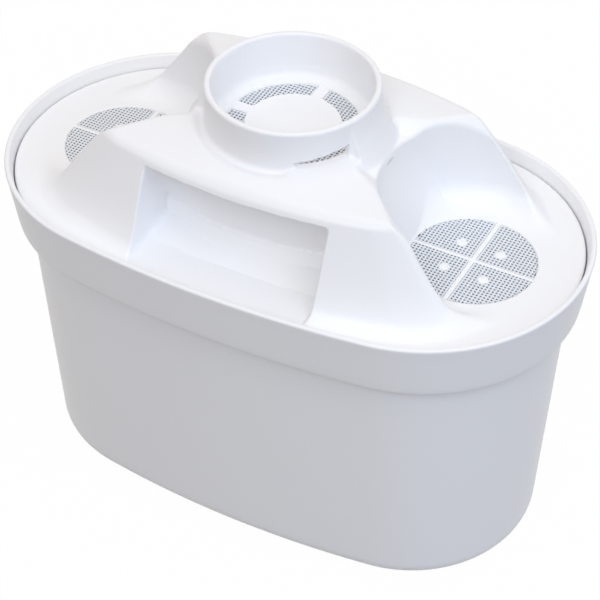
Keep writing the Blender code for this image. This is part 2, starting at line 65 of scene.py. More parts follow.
class Slot(Enum):
    """The record's material slots."""

    WHITE = "white_plastic"
    MESH = "mesh_plastic"
    GRANULES = "granules"


def box_of(node: str) -> tuple[Array, Array]:
    """Lowest and highest corner of a CAD node, as arrays.

    Args:
        node: The node's name.

    Returns:
        Both corners in metres.
    """
    low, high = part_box(node)
    return np.array(low), np.array(high)


def smooth_max(a: Array, b: Array, radius: float) -> Array:
    """Larger of two fields with a rounded edge.

    It is the lesser of the larger field and minus the radius, plus the root of the summed squares of
    how far each field passes minus the radius.

    Args:
        a: One field.
        b: Another field.
        radius: Radius of the rounded outer edge.

    Returns:
        The field of what lies in both.
    """
    over_a = np.maximum(a + radius, 0.0)
    over_b = np.maximum(b + radius, 0.0)
    return np.minimum(np.maximum(a, b), -radius) + np.hypot(over_a, over_b)


def smooth_min(a: Array, b: Array, radius: Array | float) -> Array:
    """Smaller of two fields with a concave fillet: the mirror image of the rounded edge.

    Args:
        a: One field.
        b: Another field.
        radius: Radius of the fillet, one number or one for each point.

    Returns:
        The field of what lies in either.
    """
    over_a = np.maximum(radius - a, 0.0)
    over_b = np.maximum(radius - b, 0.0)
    return np.maximum(np.minimum(a, b), radius) - np.hypot(over_a, over_b)


def slab(value: Array, low: float, high: float) -> Array:
    """Field of the layer between two levels: half the thickness taken from the distance to its middle."""
    return np.abs(value - 0.5 * (low + high)) - 0.5 * (high - low)


def step_between(value: Array, low: float, high: float) -> Array:
    """Smooth step from 0 to 1 between two values: 3 t squared less 2 t cubed."""
    t = np.clip((value - low) / (high - low), 0.0, 1.0)
    return t * t * (3.0 - 2.0 * t)


@dataclass(frozen=True)
class Oval:
    """The rim's outline: two end arcs joined by two long side arcs that share their tangents.

    Attributes:
        half_length: Half of the length.
        half_width: Half of the width.
        side_bow: Half the width less the radius of the end arcs.
    """

    half_length: float
    half_width: float
    side_bow: float = 0.0017

    @property
    def end_radius(self) -> float:
        """Radius of the end arcs."""
        return self.half_width - self.side_bow

    @property
    def end_centre(self) -> float:
        """Distance of the end arcs' centres from the middle."""
        return self.half_length - self.end_radius

    @property
    def side_radius(self) -> float:
        """Radius of the side arcs, from the condition that they touch the end arcs."""
        reach = self.end_centre ** 2 + self.half_width ** 2 - self.end_radius ** 2
        return reach / (2.0 * self.side_bow)

    @property
    def side_centre(self) -> float:
        """How far past the middle the side arcs' centres lie."""
        return self.side_radius - self.half_width

    def distance(self, x: Array, y: Array) -> Array:
        """Signed distance to the outline, negative inside.

        Each quarter has an end arc where the point's bearing from that arc's centre is flatter than the
        line through both centres, and the side arc elsewhere.

        Args:
            x: Places along the length.
            y: Places across.

        Returns:
            The distances.
        """
        ax, ay = np.abs(x), np.abs(y)
        on_end = (ax - self.end_centre) * self.side_centre > ay * self.end_centre
        end = np.hypot(ax - self.end_centre, ay) - self.end_radius
        side = np.hypot(ax, ay + self.side_centre) - self.side_radius
        return np.where(on_end, end, side)

    def path(self, count: int) -> tuple[Array, Array]:
        """Points round the outline at even steps of arc length, and their outward normals.

        Args:
            count: Number of points, a multiple of 4 keeps it symmetric.

        Returns:
            Points and normals, each an array of count rows and 2 columns.
        """
        join = math.atan2(self.side_centre, self.end_centre)
        end_length = 2.0 * join * self.end_radius
        side_length = (math.pi - 2.0 * join) * self.side_radius
        half = end_length + side_length
        along = (np.arange(count) / count * 2.0 * half + 0.5 * end_length) % (2.0 * half)
        flip = np.where(along < half, 1.0, -1.0)
        along = along % half
        on_end = along < end_length
        end_angle = along / self.end_radius - join
        side_angle = join + (along - end_length) / self.side_radius
        angle = np.where(on_end, end_angle, side_angle)
        normal = np.stack([np.cos(angle), np.sin(angle)], axis=1)
        centre = np.where(on_end[:, None], (self.end_centre, 0.0), (0.0, -self.side_centre))
        radius = np.where(on_end, self.end_radius, self.side_radius)
        return (centre + normal * radius[:, None]) * flip[:, None], normal * flip[:, None]


def mesh_from(name: str, points: Array, faces: Array) -> bpy.types.Mesh:
    """Put points and faces of one kind into a mesh.

    Args:
        name: Name of the mesh.
        points: One row for each vertex.
        faces: One row of vertex numbers for each face.

    Returns:
        The mesh, shaded smooth.
    """
    mesh = bpy.data.meshes.new(name)
    mesh.from_pydata(points.tolist(), [], faces.tolist())
    mesh.validate()
    mesh.shade_smooth()
    return mesh


def show(name: str, mesh: bpy.types.Mesh, finish: bpy.types.Material, slot: Slot,
         *nodes: str) -> bpy.types.Object:
    """Link a finished mesh as a piece of the part.

    Args:
        name: Name of the piece.
        mesh: Its mesh, in its place.
        finish: Its material.
        slot: The record's slot that the finish belongs to; not used.
        nodes: CAD nodes that the piece stands for.

    Returns:
        The new object.
    """
    piece = bpy.data.objects.new(name, mesh)
    bpy.context.scene.collection.objects.link(piece)
    mesh.materials.clear()
    mesh.materials.append(finish)
    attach(piece, BODY)
    if nodes:
        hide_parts(*nodes)
    LOG.info("%s: %d vertices", name, len(mesh.vertices))
    return piece


def thin(mesh: bpy.types.Mesh, share: float) -> bpy.types.Mesh:
    """Thin a mesh out where it is flat, by collapsing edges, with the result applied.

    Args:
        mesh: The mesh, which is used up.
        share: Share of its triangles that is kept.

    Returns:
        The thinned mesh, under the same name.
    """
    name = mesh.name
    piece = bpy.data.objects.new("thin", mesh)
    bpy.context.scene.collection.objects.link(piece)
    collapse = piece.modifiers.new("thin", "DECIMATE")
    collapse.ratio = share
    graph = bpy.context.evaluated_depsgraph_get()
    thinned = bpy.data.meshes.new_from_object(piece.evaluated_get(graph))
    bpy.data.objects.remove(piece, do_unlink=True)
    bpy.data.meshes.remove(mesh)
    thinned.name = name
    return thinned


def loft(rows: Array) -> tuple[Array, Array]:
    """Quads between neighbouring closed rows of points.

    Args:
        rows: Array of rows, points and 3 coordinates.

    Returns:
        Points, and quads that face outwards where the rows rise and each runs anticlockwise.
    """
    count, width, _ = rows.shape
    low, col = np.meshgrid(np.arange(count - 1), np.arange(width), indexing="ij")
    right = (col + 1) % width
    quads = np.stack([low * width + col, low * width + right,
                      (low + 1) * width + right, (low + 1) * width + col], axis=-1)
    return rows.reshape(-1, 3), quads.reshape(-1, 4)


def at_heights(plan: Array, heights: Array) -> Array:
    """Lift rows of points in plan, each row to a height of its own.

    Args:
        plan: Array of rows, points and 2 coordinates.
        heights: One height for each row.

    Returns:
        Array of rows, points and 3 coordinates.
    """
    return np.concatenate([plan, np.broadcast_to(heights[:, None, None], plan.shape[:2] + (1,))], axis=2)


def capped(name: str, points: Array, quads: Array, around: int) -> bpy.types.Mesh:
    """Mesh of a loft, closed with one flat face at its first row and one at its last.

    Args:
        name: Name of the mesh.
        points: The loft's points.
        quads: The loft's quads.
        around: Points in a row.

    Returns:
        The closed mesh, shaded smooth.
    """
    first = list(range(around))[::-1]
    last = list(range(len(points) - around, len(points)))
    mesh = bpy.data.meshes.new(name)
    mesh.from_pydata(points.tolist(), [], quads.tolist() + [first, last])
    mesh.shade_smooth()
    return mesh


def arc(centre: tuple[float, float], radius: float, start: float, end: float, count: int) -> Section:
    """Points along an arc in a section, with its angles in degrees.

    Args:
        centre: Middle of the arc.
        radius: Its radius.
        start: First angle.
        end: Last angle.
        count: Number of points.

    Returns:
        The points in order.
    """
    angles = np.radians(np.linspace(start, end, count))
    return [(centre[0] + radius * math.cos(a), centre[1] + radius * math.sin(a)) for a in angles]


@dataclass(frozen=True)
class PlasticFinish:
    """Moulded plastic: a pale tint that drifts a little, soft gloss and a faint orange peel.

    Attributes:
        name: Name of the material.
        tint: Colour of the plastic.
        drift: How much darker the drifting patches are, from 0 to 1.
        roughness: Mean roughness.
        spread: How far roughness wanders either way.
        peel: Depth of the orange peel.
    """

    name: str
    tint: tuple[float, float, float]
    drift: float = 0.012
    roughness: float = 0.36
    spread: float = 0.03
    peel: float = 0.000005

    def build(self) -> bpy.types.Material:
        """Make the material's nodes.

        Returns:
            The material.
        """
        material = bpy.data.materials.new(self.name)
        material.use_nodes = True
        tree = material.node_tree
        shader = tree.nodes["Principled BSDF"]
        shader.inputs["IOR"].default_value = 1.49
        place = tree.nodes.new("ShaderNodeTexCoord")
        clouds = self._noise(tree, place, 45.0, 1.0)
        mix = tree.nodes.new("ShaderNodeMix")
        mix.data_type = "RGBA"
        mix.inputs["A"].default_value = (*self.tint, 1.0)
        mix.inputs["B"].default_value = (*[c * (1.0 - self.drift) for c in self.tint], 1.0)
        tree.links.new(clouds.outputs["Fac"], mix.inputs["Factor"])
        tree.links.new(mix.outputs["Result"], shader.inputs["Base Color"])
        smears = self._noise(tree, place, 90.0, 1.0)
        span = tree.nodes.new("ShaderNodeMapRange")
        span.inputs["To Min"].default_value = self.roughness - self.spread
        span.inputs["To Max"].default_value = self.roughness + self.spread
        tree.links.new(smears.outputs["Fac"], span.inputs["Value"])
        tree.links.new(span.outputs["Result"], shader.inputs["Roughness"])
        grain = self._noise(tree, place, 900.0, 2.0)
        bump = tree.nodes.new("ShaderNodeBump")
        bump.inputs["Strength"].default_value = 0.25
        bump.inputs["Distance"].default_value = self.peel
        tree.links.new(grain.outputs["Fac"], bump.inputs["Height"])
        tree.links.new(bump.outputs["Normal"], shader.inputs["Normal"])
        return material

    @staticmethod
    def _noise(tree: bpy.types.NodeTree, place: bpy.types.Node, scale: float,
               detail: float) -> bpy.types.Node:
        """Add a noise on Object coordinates.

        Args:
            tree: The material's nodes.
            place: The coordinate node.
            scale: Waves in a metre.
            detail: Octaves.

        Returns:
            The noise node.
        """
        noise = tree.nodes.new("ShaderNodeTexNoise")
        noise.inputs["Scale"].default_value = scale
        noise.inputs["Detail"].default_value = detail
        tree.links.new(place.outputs["Object"], noise.inputs["Vector"])
        return noise


@dataclass(frozen=True)
class GranuleFinish:
    """Loose filter granules: charcoal grains with amber beads among them, one tint in each cell.

    Attributes:
        name: Name of the material.
        grains: Cells in a metre.
        bead_share: Share of cells that are amber.
    """

    name: str
    grains: float = 1100.0
    bead_share: float = 0.38

    def build(self) -> bpy.types.Material:
        """Make the material's nodes.

        Returns:
            The material.
        """
        material = bpy.data.materials.new(self.name)
        material.use_nodes = True
        tree = material.node_tree
        shader = tree.nodes["Principled BSDF"]
        shader.inputs["Roughness"].default_value = 0.6
        place = tree.nodes.new("ShaderNodeTexCoord")
        cells = tree.nodes.new("ShaderNodeTexVoronoi")
        cells.inputs["Scale"].default_value = self.grains
        tree.links.new(place.outputs["Object"], cells.inputs["Vector"])
        split = tree.nodes.new("ShaderNodeSeparateColor")
        tree.links.new(cells.outputs["Color"], split.inputs["Color"])
        ramp = tree.nodes.new("ShaderNodeValToRGB")
        ramp.color_ramp.interpolation = "CONSTANT"
        ramp.color_ramp.elements[0].color = (0.035, 0.033, 0.032, 1.0)
        ramp.color_ramp.elements[1].position = 1.0 - self.bead_share
        ramp.color_ramp.elements[1].color = (0.42, 0.24, 0.09, 1.0)
        middle = ramp.color_ramp.elements.new(0.4)
        middle.color = (0.075, 0.07, 0.066, 1.0)
        tree.links.new(split.outputs["Red"], ramp.inputs["Fac"])
        tree.links.new(ramp.outputs["Color"], shader.inputs["Base Color"])
        bump = tree.nodes.new("ShaderNodeBump")
        bump.inputs["Strength"].default_value = 0.8
        bump.inputs["Distance"].default_value = 0.0004
        bump.invert = True
        tree.links.new(cells.outputs["Distance"], bump.inputs["Height"])
        tree.links.new(bump.outputs["Normal"], shader.inputs["Normal"])
        return material


@dataclass(frozen=True)
class FieldGrid:
    """Finds the zero surface of a field on a grid of cubes.

    Attributes:
        low: Lowest corner of the grid.
        high: Highest corner of the grid.
        step: Edge of a cube.
        settle: Rounds of moving points onto the surface.
        reach_share: Half of the span that a slope is measured over, as a share of the step.
        least_square: Smallest square of a slope that is divided by.
        move_share: Longest factor of a move, as a share of the step.
    """

    low: tuple[float, float, float]
    high: tuple[float, float, float]
    step: float
    settle: int = 4
    reach_share: float = 0.05
    least_square: float = 0.05
    move_share: float = 0.5

    def surface(self, shape: Field) -> tuple[Array, Array]:
        """Quads of the zero surface.

        A cube with corners on both sides of zero gets one point, the mean of the places where its edges
        cross zero. Each crossed edge gets the quad of the four cubes round it. The points then move along
        the gradient until the field is zero there.

        Args:
            shape: The field, negative inside.

        Returns:
            Points, and quads that face outwards.
        """
        axes = [np.arange(a, b, self.step, dtype=np.float64) for a, b in zip(self.low, self.high)]
        values = self._sample(shape, axes)
        inside = values < 0.0
        cells = tuple(n - 1 for n in values.shape)
        total = np.zeros(cells + (3,), dtype=np.float32)
        hits = np.zeros(cells, dtype=np.int16)
        crossings = []
        for axis in range(3):
            crossings.append(self._collect(axis, values, inside, axes, total, hits))
        used = hits > 0
        number = np.full(cells, -1, dtype=np.int64)
        number[used] = np.arange(int(used.sum()))
        points = (total[used] / hits[used][:, None]).astype(np.float64)
        quads = np.concatenate([self._quads(axis, crossings[axis], inside, number) for axis in range(3)])
        for _ in range(self.settle):
            points = self.onto_surface(shape, points)[0]
        return points, quads

    @staticmethod
    def _sample(shape: Field, axes: list[Array]) -> Array:
        """Values of the field on the grid, one layer along X after another to save memory.

        Args:
            shape: The field.
            axes: The grid's places along X, Y and Z.

        Returns:
            Array of values.
        """
        y, z = np.meshgrid(axes[1], axes[2], indexing="ij")
        values = np.empty((len(axes[0]),) + y.shape, dtype=np.float32)
        block = 16
        for start in range(0, len(axes[0]), block):
            x = axes[0][start:start + block, None, None]
            x, yy, zz = np.broadcast_arrays(x, y[None], z[None])
            values[start:start + block] = shape(x, yy, zz)
        return values

    def _collect(self, axis: int, values: Array, inside: Array, axes: list[Array], total: Array,
                 hits: Array) -> tuple[Array, Array, Array]:
        """Add each crossed edge's place along one axis to the four cubes round it.

        Args:
            axis: 0, 1 or 2.
            values: The field on the grid.
            inside: Where it is negative.
            axes: The grid's places.
            total: Sum of places for each cube, added to.
            hits: Number of places for each cube, added to.

        Returns:
            Grid numbers of the lower ends of the crossed edges.
        """
        low = [slice(None)] * 3
        high = [slice(None)] * 3
        low[axis] = slice(0, -1)
        high[axis] = slice(1, None)
        edge = np.nonzero(inside[tuple(low)] != inside[tuple(high)])
        ahead = tuple(e + (1 if i == axis else 0) for i, e in enumerate(edge))
        share = values[edge] / (values[edge] - values[ahead])
        place = np.stack([axes[i][edge[i]] for i in range(3)], axis=1)
        place[:, axis] += share * self.step
        others = [i for i in range(3) if i != axis]
        for back_a in (0, 1):
            for back_b in (0, 1):
                cube = [edge[0].copy(), edge[1].copy(), edge[2].copy()]
                cube[others[0]] -= back_a
                cube[others[1]] -= back_b
                fits = np.ones(len(edge[0]), dtype=bool)
                for i in others:
                    fits &= (cube[i] >= 0) & (cube[i] < hits.shape[i])
                spot = tuple(c[fits] for c in cube)
                np.add.at(total, spot, place[fits].astype(np.float32))
                np.add.at(hits, spot, 1)
        return edge

    @staticmethod
    def _quads(axis: int, edge: tuple[Array, Array, Array], inside: Array, number: Array) -> Array:
        """Quads round the crossed edges along one axis, turned to face out of the solid.

        Args:
            axis: 0, 1 or 2.
            edge: Grid numbers of the lower ends of the crossed edges.
            inside: Where the field is negative.
            number: Point number of each cube.

        Returns:
            One row of four point numbers for each quad.
        """
        first, second = [(1, 2), (2, 0), (0, 1)][axis]
        corners = []
        for back_a, back_b in ((1, 1), (0, 1), (0, 0), (1, 0)):
            cube = [edge[0].copy(), edge[1].copy(), edge[2].copy()]
            cube[first] -= back_a
            cube[second] -= back_b
            corners.append(number[tuple(cube)])
        quads = np.stack(corners, axis=1)
        leaving = inside[edge]
        quads[~leaving] = quads[~leaving][:, ::-1]
        return quads

    def onto_surface(self, shape: Field, points: Array) -> tuple[Array, Array]:
        """Move points onto the surface: against the gradient by the field over the gradient's square.

        Args:
            shape: The field.
            points: The points.

        Returns:
            The moved points, and the gradient's direction where they were before.
        """
        reach = self.reach_share * self.step
        value = shape(*points.T)
        slope = np.stack([(shape(*(points + reach * unit).T) - shape(*(points - reach * unit).T))
                          / (2.0 * reach) for unit in np.eye(3)], axis=1)
        square = np.maximum((slope ** 2).sum(axis=1), self.least_square)
        longest = self.move_share * self.step
        move = np.clip(value / square, -longest, longest)
        normals = slope / np.sqrt(square)[:, None]
        return points - move[:, None] * slope, normals


@dataclass
class Cup:
    """The lower housing: a section carried round the rim's oval, with the outlet slots cut in its base.

    Attributes:
        outline: The rim's outline.
        rim_z: Height of the rim.
    """

    outline: Oval
    rim_z: float
    band_height: float = 0.0107
    band_taper: float = 0.0014
    band_step: float = 0.0021
    body_taper: float = 0.0024
    wall: float = 0.0014
    rim_wall: float = 0.00135
    rim_draft: float = 0.0004
    rim_drop: float = 0.0021
    rim_round: float = 0.00040
    edge_round: float = 0.0003
    ledge_z: float = 0.0565
    base_round: float = 0.0040
    inner_round: float = 0.0030
    foot_width: float = 0.0026
    foot_height: float = 0.0008
    floor: float = 0.0016
    slot_count: int = 9
    slot_pitch: float = 0.0046
    slot_width: float = 0.0022
    slot_length: float = 0.0180
    slot_reach: tuple[float, float] = (-0.001, 0.006)
    middle_inset: float = 0.010
    sharp_angle: float = 38.0
    around: int = 384

    def section(self) -> Array:
        """Half section from the middle of the underside to the middle of the floor, as inset and height.

        Returns:
            Array of insets from the rim's outline and heights.
        """
        band_z = self.rim_z - self.band_height
        body = self.band_taper + self.band_step
        base = body + self.body_taper
        r, e = self.rim_round, self.edge_round
        foot = base + self.base_round + self.foot_width
        floor_z = self.foot_height + self.floor
        points = [(foot + self.middle_inset, self.foot_height),
                  (foot + self.foot_height + e, self.foot_height),
                  (foot + 0.5 * self.foot_height, 0.5 * self.foot_height), (foot, e * 0.3), (foot - e, 0.0)]
        points += arc((base + self.base_round, self.base_round), self.base_round, 270.0, 180.0, 14)
        lean = math.degrees(math.atan2(self.body_taper, band_z - self.base_round))
        points += [(base - self.body_taper * t, self.base_round + (band_z - self.base_round) * t)
                   for t in np.linspace(0.05, 0.97, 12)]
        points += arc((body - e, band_z - e), e, lean, 90.0, 4)
        points += arc((self.band_taper + e, band_z + e), e, 270.0, 188.0, 6)
        points += [(self.band_taper * (1.0 - t), band_z + self.band_height * t)
                   for t in np.linspace(0.1, 0.9, 6)]
        points += arc((r, self.rim_z - r), r, 180.0, 90.0, 7)
        lip = self.rim_wall - self.rim_draft
        points += arc((lip - r, self.rim_z - r), r, 90.0, 10.0, 7)
        points += [(lip + self.rim_draft * t, self.rim_z - r - self.rim_drop * t)
                   for t in np.linspace(0.1, 1.0, 6)]
        points += [(self.rim_wall, self.ledge_z + e), (self.rim_wall, self.ledge_z)]
        band_inner = self.band_taper + self.wall
        points += [(band_inner, self.ledge_z), (band_inner, band_z + self.wall),
                   (body + self.wall, band_z + self.wall)]
        inner = base + self.wall
        points += arc((inner + self.inner_round, floor_z + self.inner_round),
                      self.inner_round, 180.0, 270.0, 9)
        points += [(foot + 0.004, floor_z), (foot + self.middle_inset, floor_z)]
        return np.array(points)

    def build(self, finish: bpy.types.Material) -> bpy.types.Object:
        """Make the cup.

        Args:
            finish: Its material.

        Returns:
            The piece.
        """
        path, normal = self.outline.path(self.around)
        section = self.section()
        plan = path[None] - normal[None] * section[:, 0, None, None]
        points, quads = loft(at_heights(plan, section[:, 1]))
        mesh = capped("cup_shell", points, quads, self.around)
        cup = show("cup_shell", mesh, finish, Slot.WHITE, "cup")
        self._cut_slots(cup)
        cup.data.set_sharp_from_angle(angle=math.radians(self.sharp_angle))
        return cup

    def _cut_slots(self, cup: bpy.types.Object) -> None:
        """Cut the outlet slots through the base: round-ended prisms taken away, then applied.

        Args:
            cup: The cup.
        """
        steps = 12
        angle = np.pi * np.arange(steps) / (steps - 1)
        radius = 0.5 * self.slot_width
        straight = 0.5 * self.slot_length - radius
        half = np.stack([radius * np.cos(angle), straight + radius * np.sin(angle)], axis=1)
        outline = np.concatenate([half, -half])
        points, faces = [], []
        for i in range(self.slot_count):
            x = (i - 0.5 * (self.slot_count - 1)) * self.slot_pitch
            start = len(points)
            count = len(outline)
            for z in self.slot_reach:
                points += [(x + px, py, z) for px, py in outline]
            faces += [[start + j, start + (j + 1) % count, start + count + (j + 1) % count, start + count + j]
                      for j in range(count)]
            faces += [list(range(start, start + count))[::-1], list(range(start + count, start + 2 * count))]
        mesh = bpy.data.meshes.new("slots")
        mesh.from_pydata(points, [], faces)
        cutter = bpy.data.objects.new("slots", mesh)
        bpy.context.scene.collection.objects.link(cutter)
        cut = cup.modifiers.new("slots", "BOOLEAN")
        cut.operation = "DIFFERENCE"
        cut.object = cutter
        graph = bpy.context.evaluated_depsgraph_get()
        cup.data = bpy.data.meshes.new_from_object(cup.evaluated_get(graph))
        cup.modifiers.clear()
        bpy.data.objects.remove(cutter, do_unlink=True)


@dataclass
class Cover:
    """The upper moulding as a field: deck, hump, scallops, pockets, ring and vented floor.

    Attributes:
        outline: The rim's outline.
        deck_z: Height of the deck.
        ring_top: Height of the ring.
    """

    outline: Oval
    deck_z: float
    ring_top: float
    # Deck and skirt
    deck_inset: float = 0.00158
    deck_thickness: float = 0.0018
    skirt_inset: float = 0.0033
    skirt_wall: float = 0.0012
    skirt_depth: float = 0.0040
    skirt_lap: float = 0.0005
    deck_round: float = 0.0003
    # Windows and scallops
    window_x: float = 0.0335
    window_radius: float = 0.0107
    window_seat: float = 0.0008
    seat_height: float = 0.0013
    window_round: float = 0.00025
    scallop_radius: float = 0.0160
    scallop_fillet: float = 0.0045
    scallop_round: float = 0.0005
    scallop_blend: tuple[float, float] = (0.001, 0.003)
    bay_round: float = 0.0010
    chute_drop: float = 0.0014
    chute_margin: float = 0.0003
    chute_fillet: float = 0.0004
    chute_sides: tuple[float, float] = (0.0015, 0.0095)
    # Hump
    rise: float = 0.0164
    crown: float = 0.0017
    crown_fall: float = 0.0017
    land_start: float = 0.6
    land_end: float = 1.2
    half_width: float = 0.0202
    side_radius: float = 0.100
    ramp_run: float = 0.0071
    corner_angle: float = 46.9
    corner_setback: float = 0.0071
    corner_run: float = 0.0088
    toe_reach: float = 0.0054
    toe_run: float = 0.0115
    toe_round: float = 0.0012
    corner_round: float = 0.0016
    tip_facing: tuple[float, float, float] = (0.563, -0.434, 0.703)
    tip_reach: float = 0.0092
    tip_round: float = 0.0005
    wall: float = 0.0016
    hollow_reach: float = 0.002
    hollow_round: float = 0.0004
    foot_fillet: float = 0.0022
    edge_round: float = 0.0012
    # Pockets
    pocket_half: float = 0.0168
    pocket_rise: float = 0.0016
    pocket_mouth: float = 0.02125
    mouth_sink: float = 0.0002
    floor_margin: float = 4.0
    ledge_foot: float = 0.01755
    ledge_foot_radius: float = 0.0395
    ledge_rise: float = 0.0020
    ledge_top: float = 0.01545
    ledge_top_radius: float = 0.0475
    ledge_flat: float = 0.0008
    ledge_round: float = 0.0011
    corner_fillet: float = 0.0008
    lip_height: float = 0.0020
    lip_setback: float = 0.0003
    lip_round: float = 0.0003
    pocket_round: float = 0.0004
    # Ring and vented floor
    ring_radius: float = 0.01458
    ring_wall: float = 0.0012
    ring_round: float = 0.0005
    ring_fillet: float = 0.0005
    room_round: float = 0.0003
    flare_drop: float = 0.0022
    flare_run: float = 0.00262
    flare_angle: float = 20.7
    flare_before: float = 3.0
    flare_past: float = 7.0
    flare_round: float = 0.0003
    flare_cap: float = 0.001
    flare_sink: float = 0.0015
    flare_fillet: float = 0.0010
    moat_width: float = 0.0010
    moat_depth: float = 0.0009
    moat_offset: float = 0.5
    groove: float = 0.0011
    groove_offset: float = 0.0004
    groove_width: float = 0.0009
    dish_rise: float = 0.0018
    dish_margin: float = 0.0004
    vent_drop: float = 0.0018
    vent_radius: float = 0.0082
    vent_width: float = 0.0030
    vent_bridge: float = 0.0022
    vent_round: float = 0.0002
    vent_above: float = 0.001
    vent_below: float = 0.004
    disc_rise: float = 0.0004
    slot_height: float = 0.00080
    slot_climb: float = 0.00145
    slot_start: float = -61.0
    slot_end: float = -23.6
    slot_round: float = 0.0002
    slot_sink: float = 0.001
    slot_ends: tuple[float, float] = (-0.0002, 0.0030)
    # Field and mesh
    height_share: float = 0.8
    grid: float = 0.0004
    kept_share: float = 0.58

    @property
    def hump_z(self) -> float:
        """Height of the hump's top edge."""
        return self.deck_z + self.rise

    @property
    def crown_z(self) -> float:
        """Height of the hump's top at the ring's foot."""
        return self.hump_z + self.crown

    @property
    def vent_z(self) -> float:
        """Height of the vented floor."""
        return self.crown_z - self.vent_drop

    @property
    def corner(self) -> tuple[float, float]:
        """Place in plan where a corner facet meets the long side's top edge."""
        x = self.window_x - self.corner_setback
        return x, self.half_width - x ** 2 / (2.0 * self.side_radius)

    @property
    def slot_half(self) -> float:
        """Half of the angle that the ring's slot takes up, in radians."""
        return math.radians(0.5 * (self.slot_end - self.slot_start))

    def _bay(self, x: Array, y: Array) -> Array:
        """Distance in plan from the middle of the nearer window."""
        return np.hypot(np.abs(x) - self.window_x, y)

    def _sides(self, x: Array, y: Array, z: Array, inset: float) -> tuple[Array, Array, Array]:
        """Fields of the bowed long sides, the corner facets and the blunt toes.

        Each is the distance in plan past a line that moves outwards on the way down, times the cosine of
        the face's lean.

        Args:
            x: Places along the length.
            y: Places across.
            z: Heights.
            inset: How far to set the faces in.

        Returns:
            The three fields.
        """
        ax, ay = np.abs(x), np.abs(y)
        fall = (self.hump_z - z) / self.rise
        side = self.half_width - x * x / (2.0 * self.side_radius) + self.ramp_run * fall
        lean = math.cos(math.atan2(self.ramp_run, self.rise))
        long_side = (ay - side) * lean
        facing = math.radians(self.corner_angle)
        corner_x, corner_y = self.corner
        reach = corner_x * math.cos(facing) + corner_y * math.sin(facing) + self.corner_run * fall
        facet = (ax * math.cos(facing) + ay * math.sin(facing) - reach)
        facet = facet * math.cos(math.atan2(self.corner_run, self.rise))
        toe = (ax - (self.window_x + self.toe_reach - self.toe_run * (1.0 - fall)))
        toe = toe * math.cos(math.atan2(self.toe_run, self.rise))
        return long_side + inset, facet + inset, toe + inset

    def _beside_ring(self, x: Array, y: Array) -> Array:
        """One on both sides of the ring, where its foot is flared, and zero past that, by the bearing."""
        bearing = np.degrees(np.arctan2(np.abs(y), np.abs(x)))
        return 1.0 - step_between(bearing, self.flare_angle - self.flare_before,
                                  self.flare_angle + self.flare_past)

    def _crown_height(self, x: Array, y: Array) -> Array:
        """Height of the hump's top, with what is pressed into it round the ring.

        It falls from the crown at the ring to the edge, by the share of the way to it. On both sides of
        the ring it falls once more, past the flared foot. Elsewhere, but not at the slot, it dips in a
        moat just outside the ring, which is deepest half its width out.
        """
        level = np.full_like(x, self.hump_z)
        sides = self._sides(x, y, level, 0.0)
        inward = np.maximum(-np.maximum(np.maximum(sides[0], sides[1]), sides[2]), 1e-6)
        r = np.hypot(x, y)
        outward = np.maximum(r - self.ring_radius, 0.0)
        land = step_between(r, self.ring_radius + self.land_start * self.flare_run,
                            self.ring_radius + self.land_end * self.flare_run)
        beside = self._beside_ring(x, y)
        plain = (1.0 - beside) * (1.0 - self._at_slot(x, y))
        across = (r - self.ring_radius) / self.moat_width - self.moat_offset
        moat = self.moat_depth * np.exp(-across ** 2) * plain
        top = self.hump_z + self.crown * inward / (inward + outward)
        return top - self.crown_fall * land * beside - moat

    def _pocket(self, x: Array, y: Array, z: Array, extra: float) -> Array:
        """Field of both finger pockets: side walls, floor with its sloping ledge, and the undercut wall.

        The floor starts just under the deck at the mouth and rises to the ledge, whose foot and top are
        arcs. The wall leans by its run over its rise, from the ledge's top to the lip's underside. The
        lip stays flush with the long side. With a wall's thickness asked for, the pocket has no lip.
        """
        out = np.abs(y)
        foot = self.ledge_foot - x * x / (2.0 * self.ledge_foot_radius)
        top = self.ledge_top - x * x / (2.0 * self.ledge_top_radius)
        ramp = np.clip((self.pocket_mouth - out) / (self.pocket_mouth - foot), 0.0, 1.0)
        floor = self.deck_z - self.mouth_sink + (self.pocket_rise + self.mouth_sink) * ramp
        crest = top + self.ledge_flat
        floor = floor + self.ledge_rise * np.clip((foot - out) / (foot - crest), 0.0, 1.0)
        top_z = self.deck_z + self.pocket_rise + self.ledge_rise
        lip_z = self.hump_z - self.lip_height
        edge = self.half_width - x * x / (2.0 * self.side_radius)
        lip = edge + self.ramp_run * self.lip_height / self.rise - self.lip_setback
        lean = (lip - top) / (lip_z - top_z)
        wall = (top + lean * (z - top_z) - out) / np.sqrt(1.0 + lean * lean) - extra
        sides = np.abs(x) - self.pocket_half - extra
        cut = smooth_max(sides, wall, self.corner_fillet)
        under = self.height_share * (floor - z) - extra * self.floor_margin
        cut = smooth_max(cut, under, self.ledge_round)
        return cut if extra else smooth_max(cut, z - lip_z, self.lip_round)

    def _hump(self, x: Array, y: Array, z: Array) -> Array:
        """Field of the hump with its scallops, chutes and blunted tips, rounded at its edges."""
        long_side, facet, toe = self._sides(x, y, z, 0.0)
        body = smooth_max(long_side, facet, self.corner_round)
        body = smooth_max(body, toe, self.toe_round)
        body = smooth_max(body, z - self._crown_height(x, y), self.edge_round)
        bay = self._bay(x, y)
        open_bay = -smooth_max(bay - self.scallop_radius, -self._chute(x, z), self.bay_round)
        body = smooth_max(body, open_bay, self.scallop_round)
        corner_x, corner_y = self.corner
        nx, ny, nz = self.tip_facing
        tip = nx * (np.abs(x) - corner_x) + ny * (np.abs(y) - corner_y) + nz * (z - self.hump_z)
        return smooth_max(body, np.minimum(tip, np.abs(y) - self.tip_reach), self.tip_round)

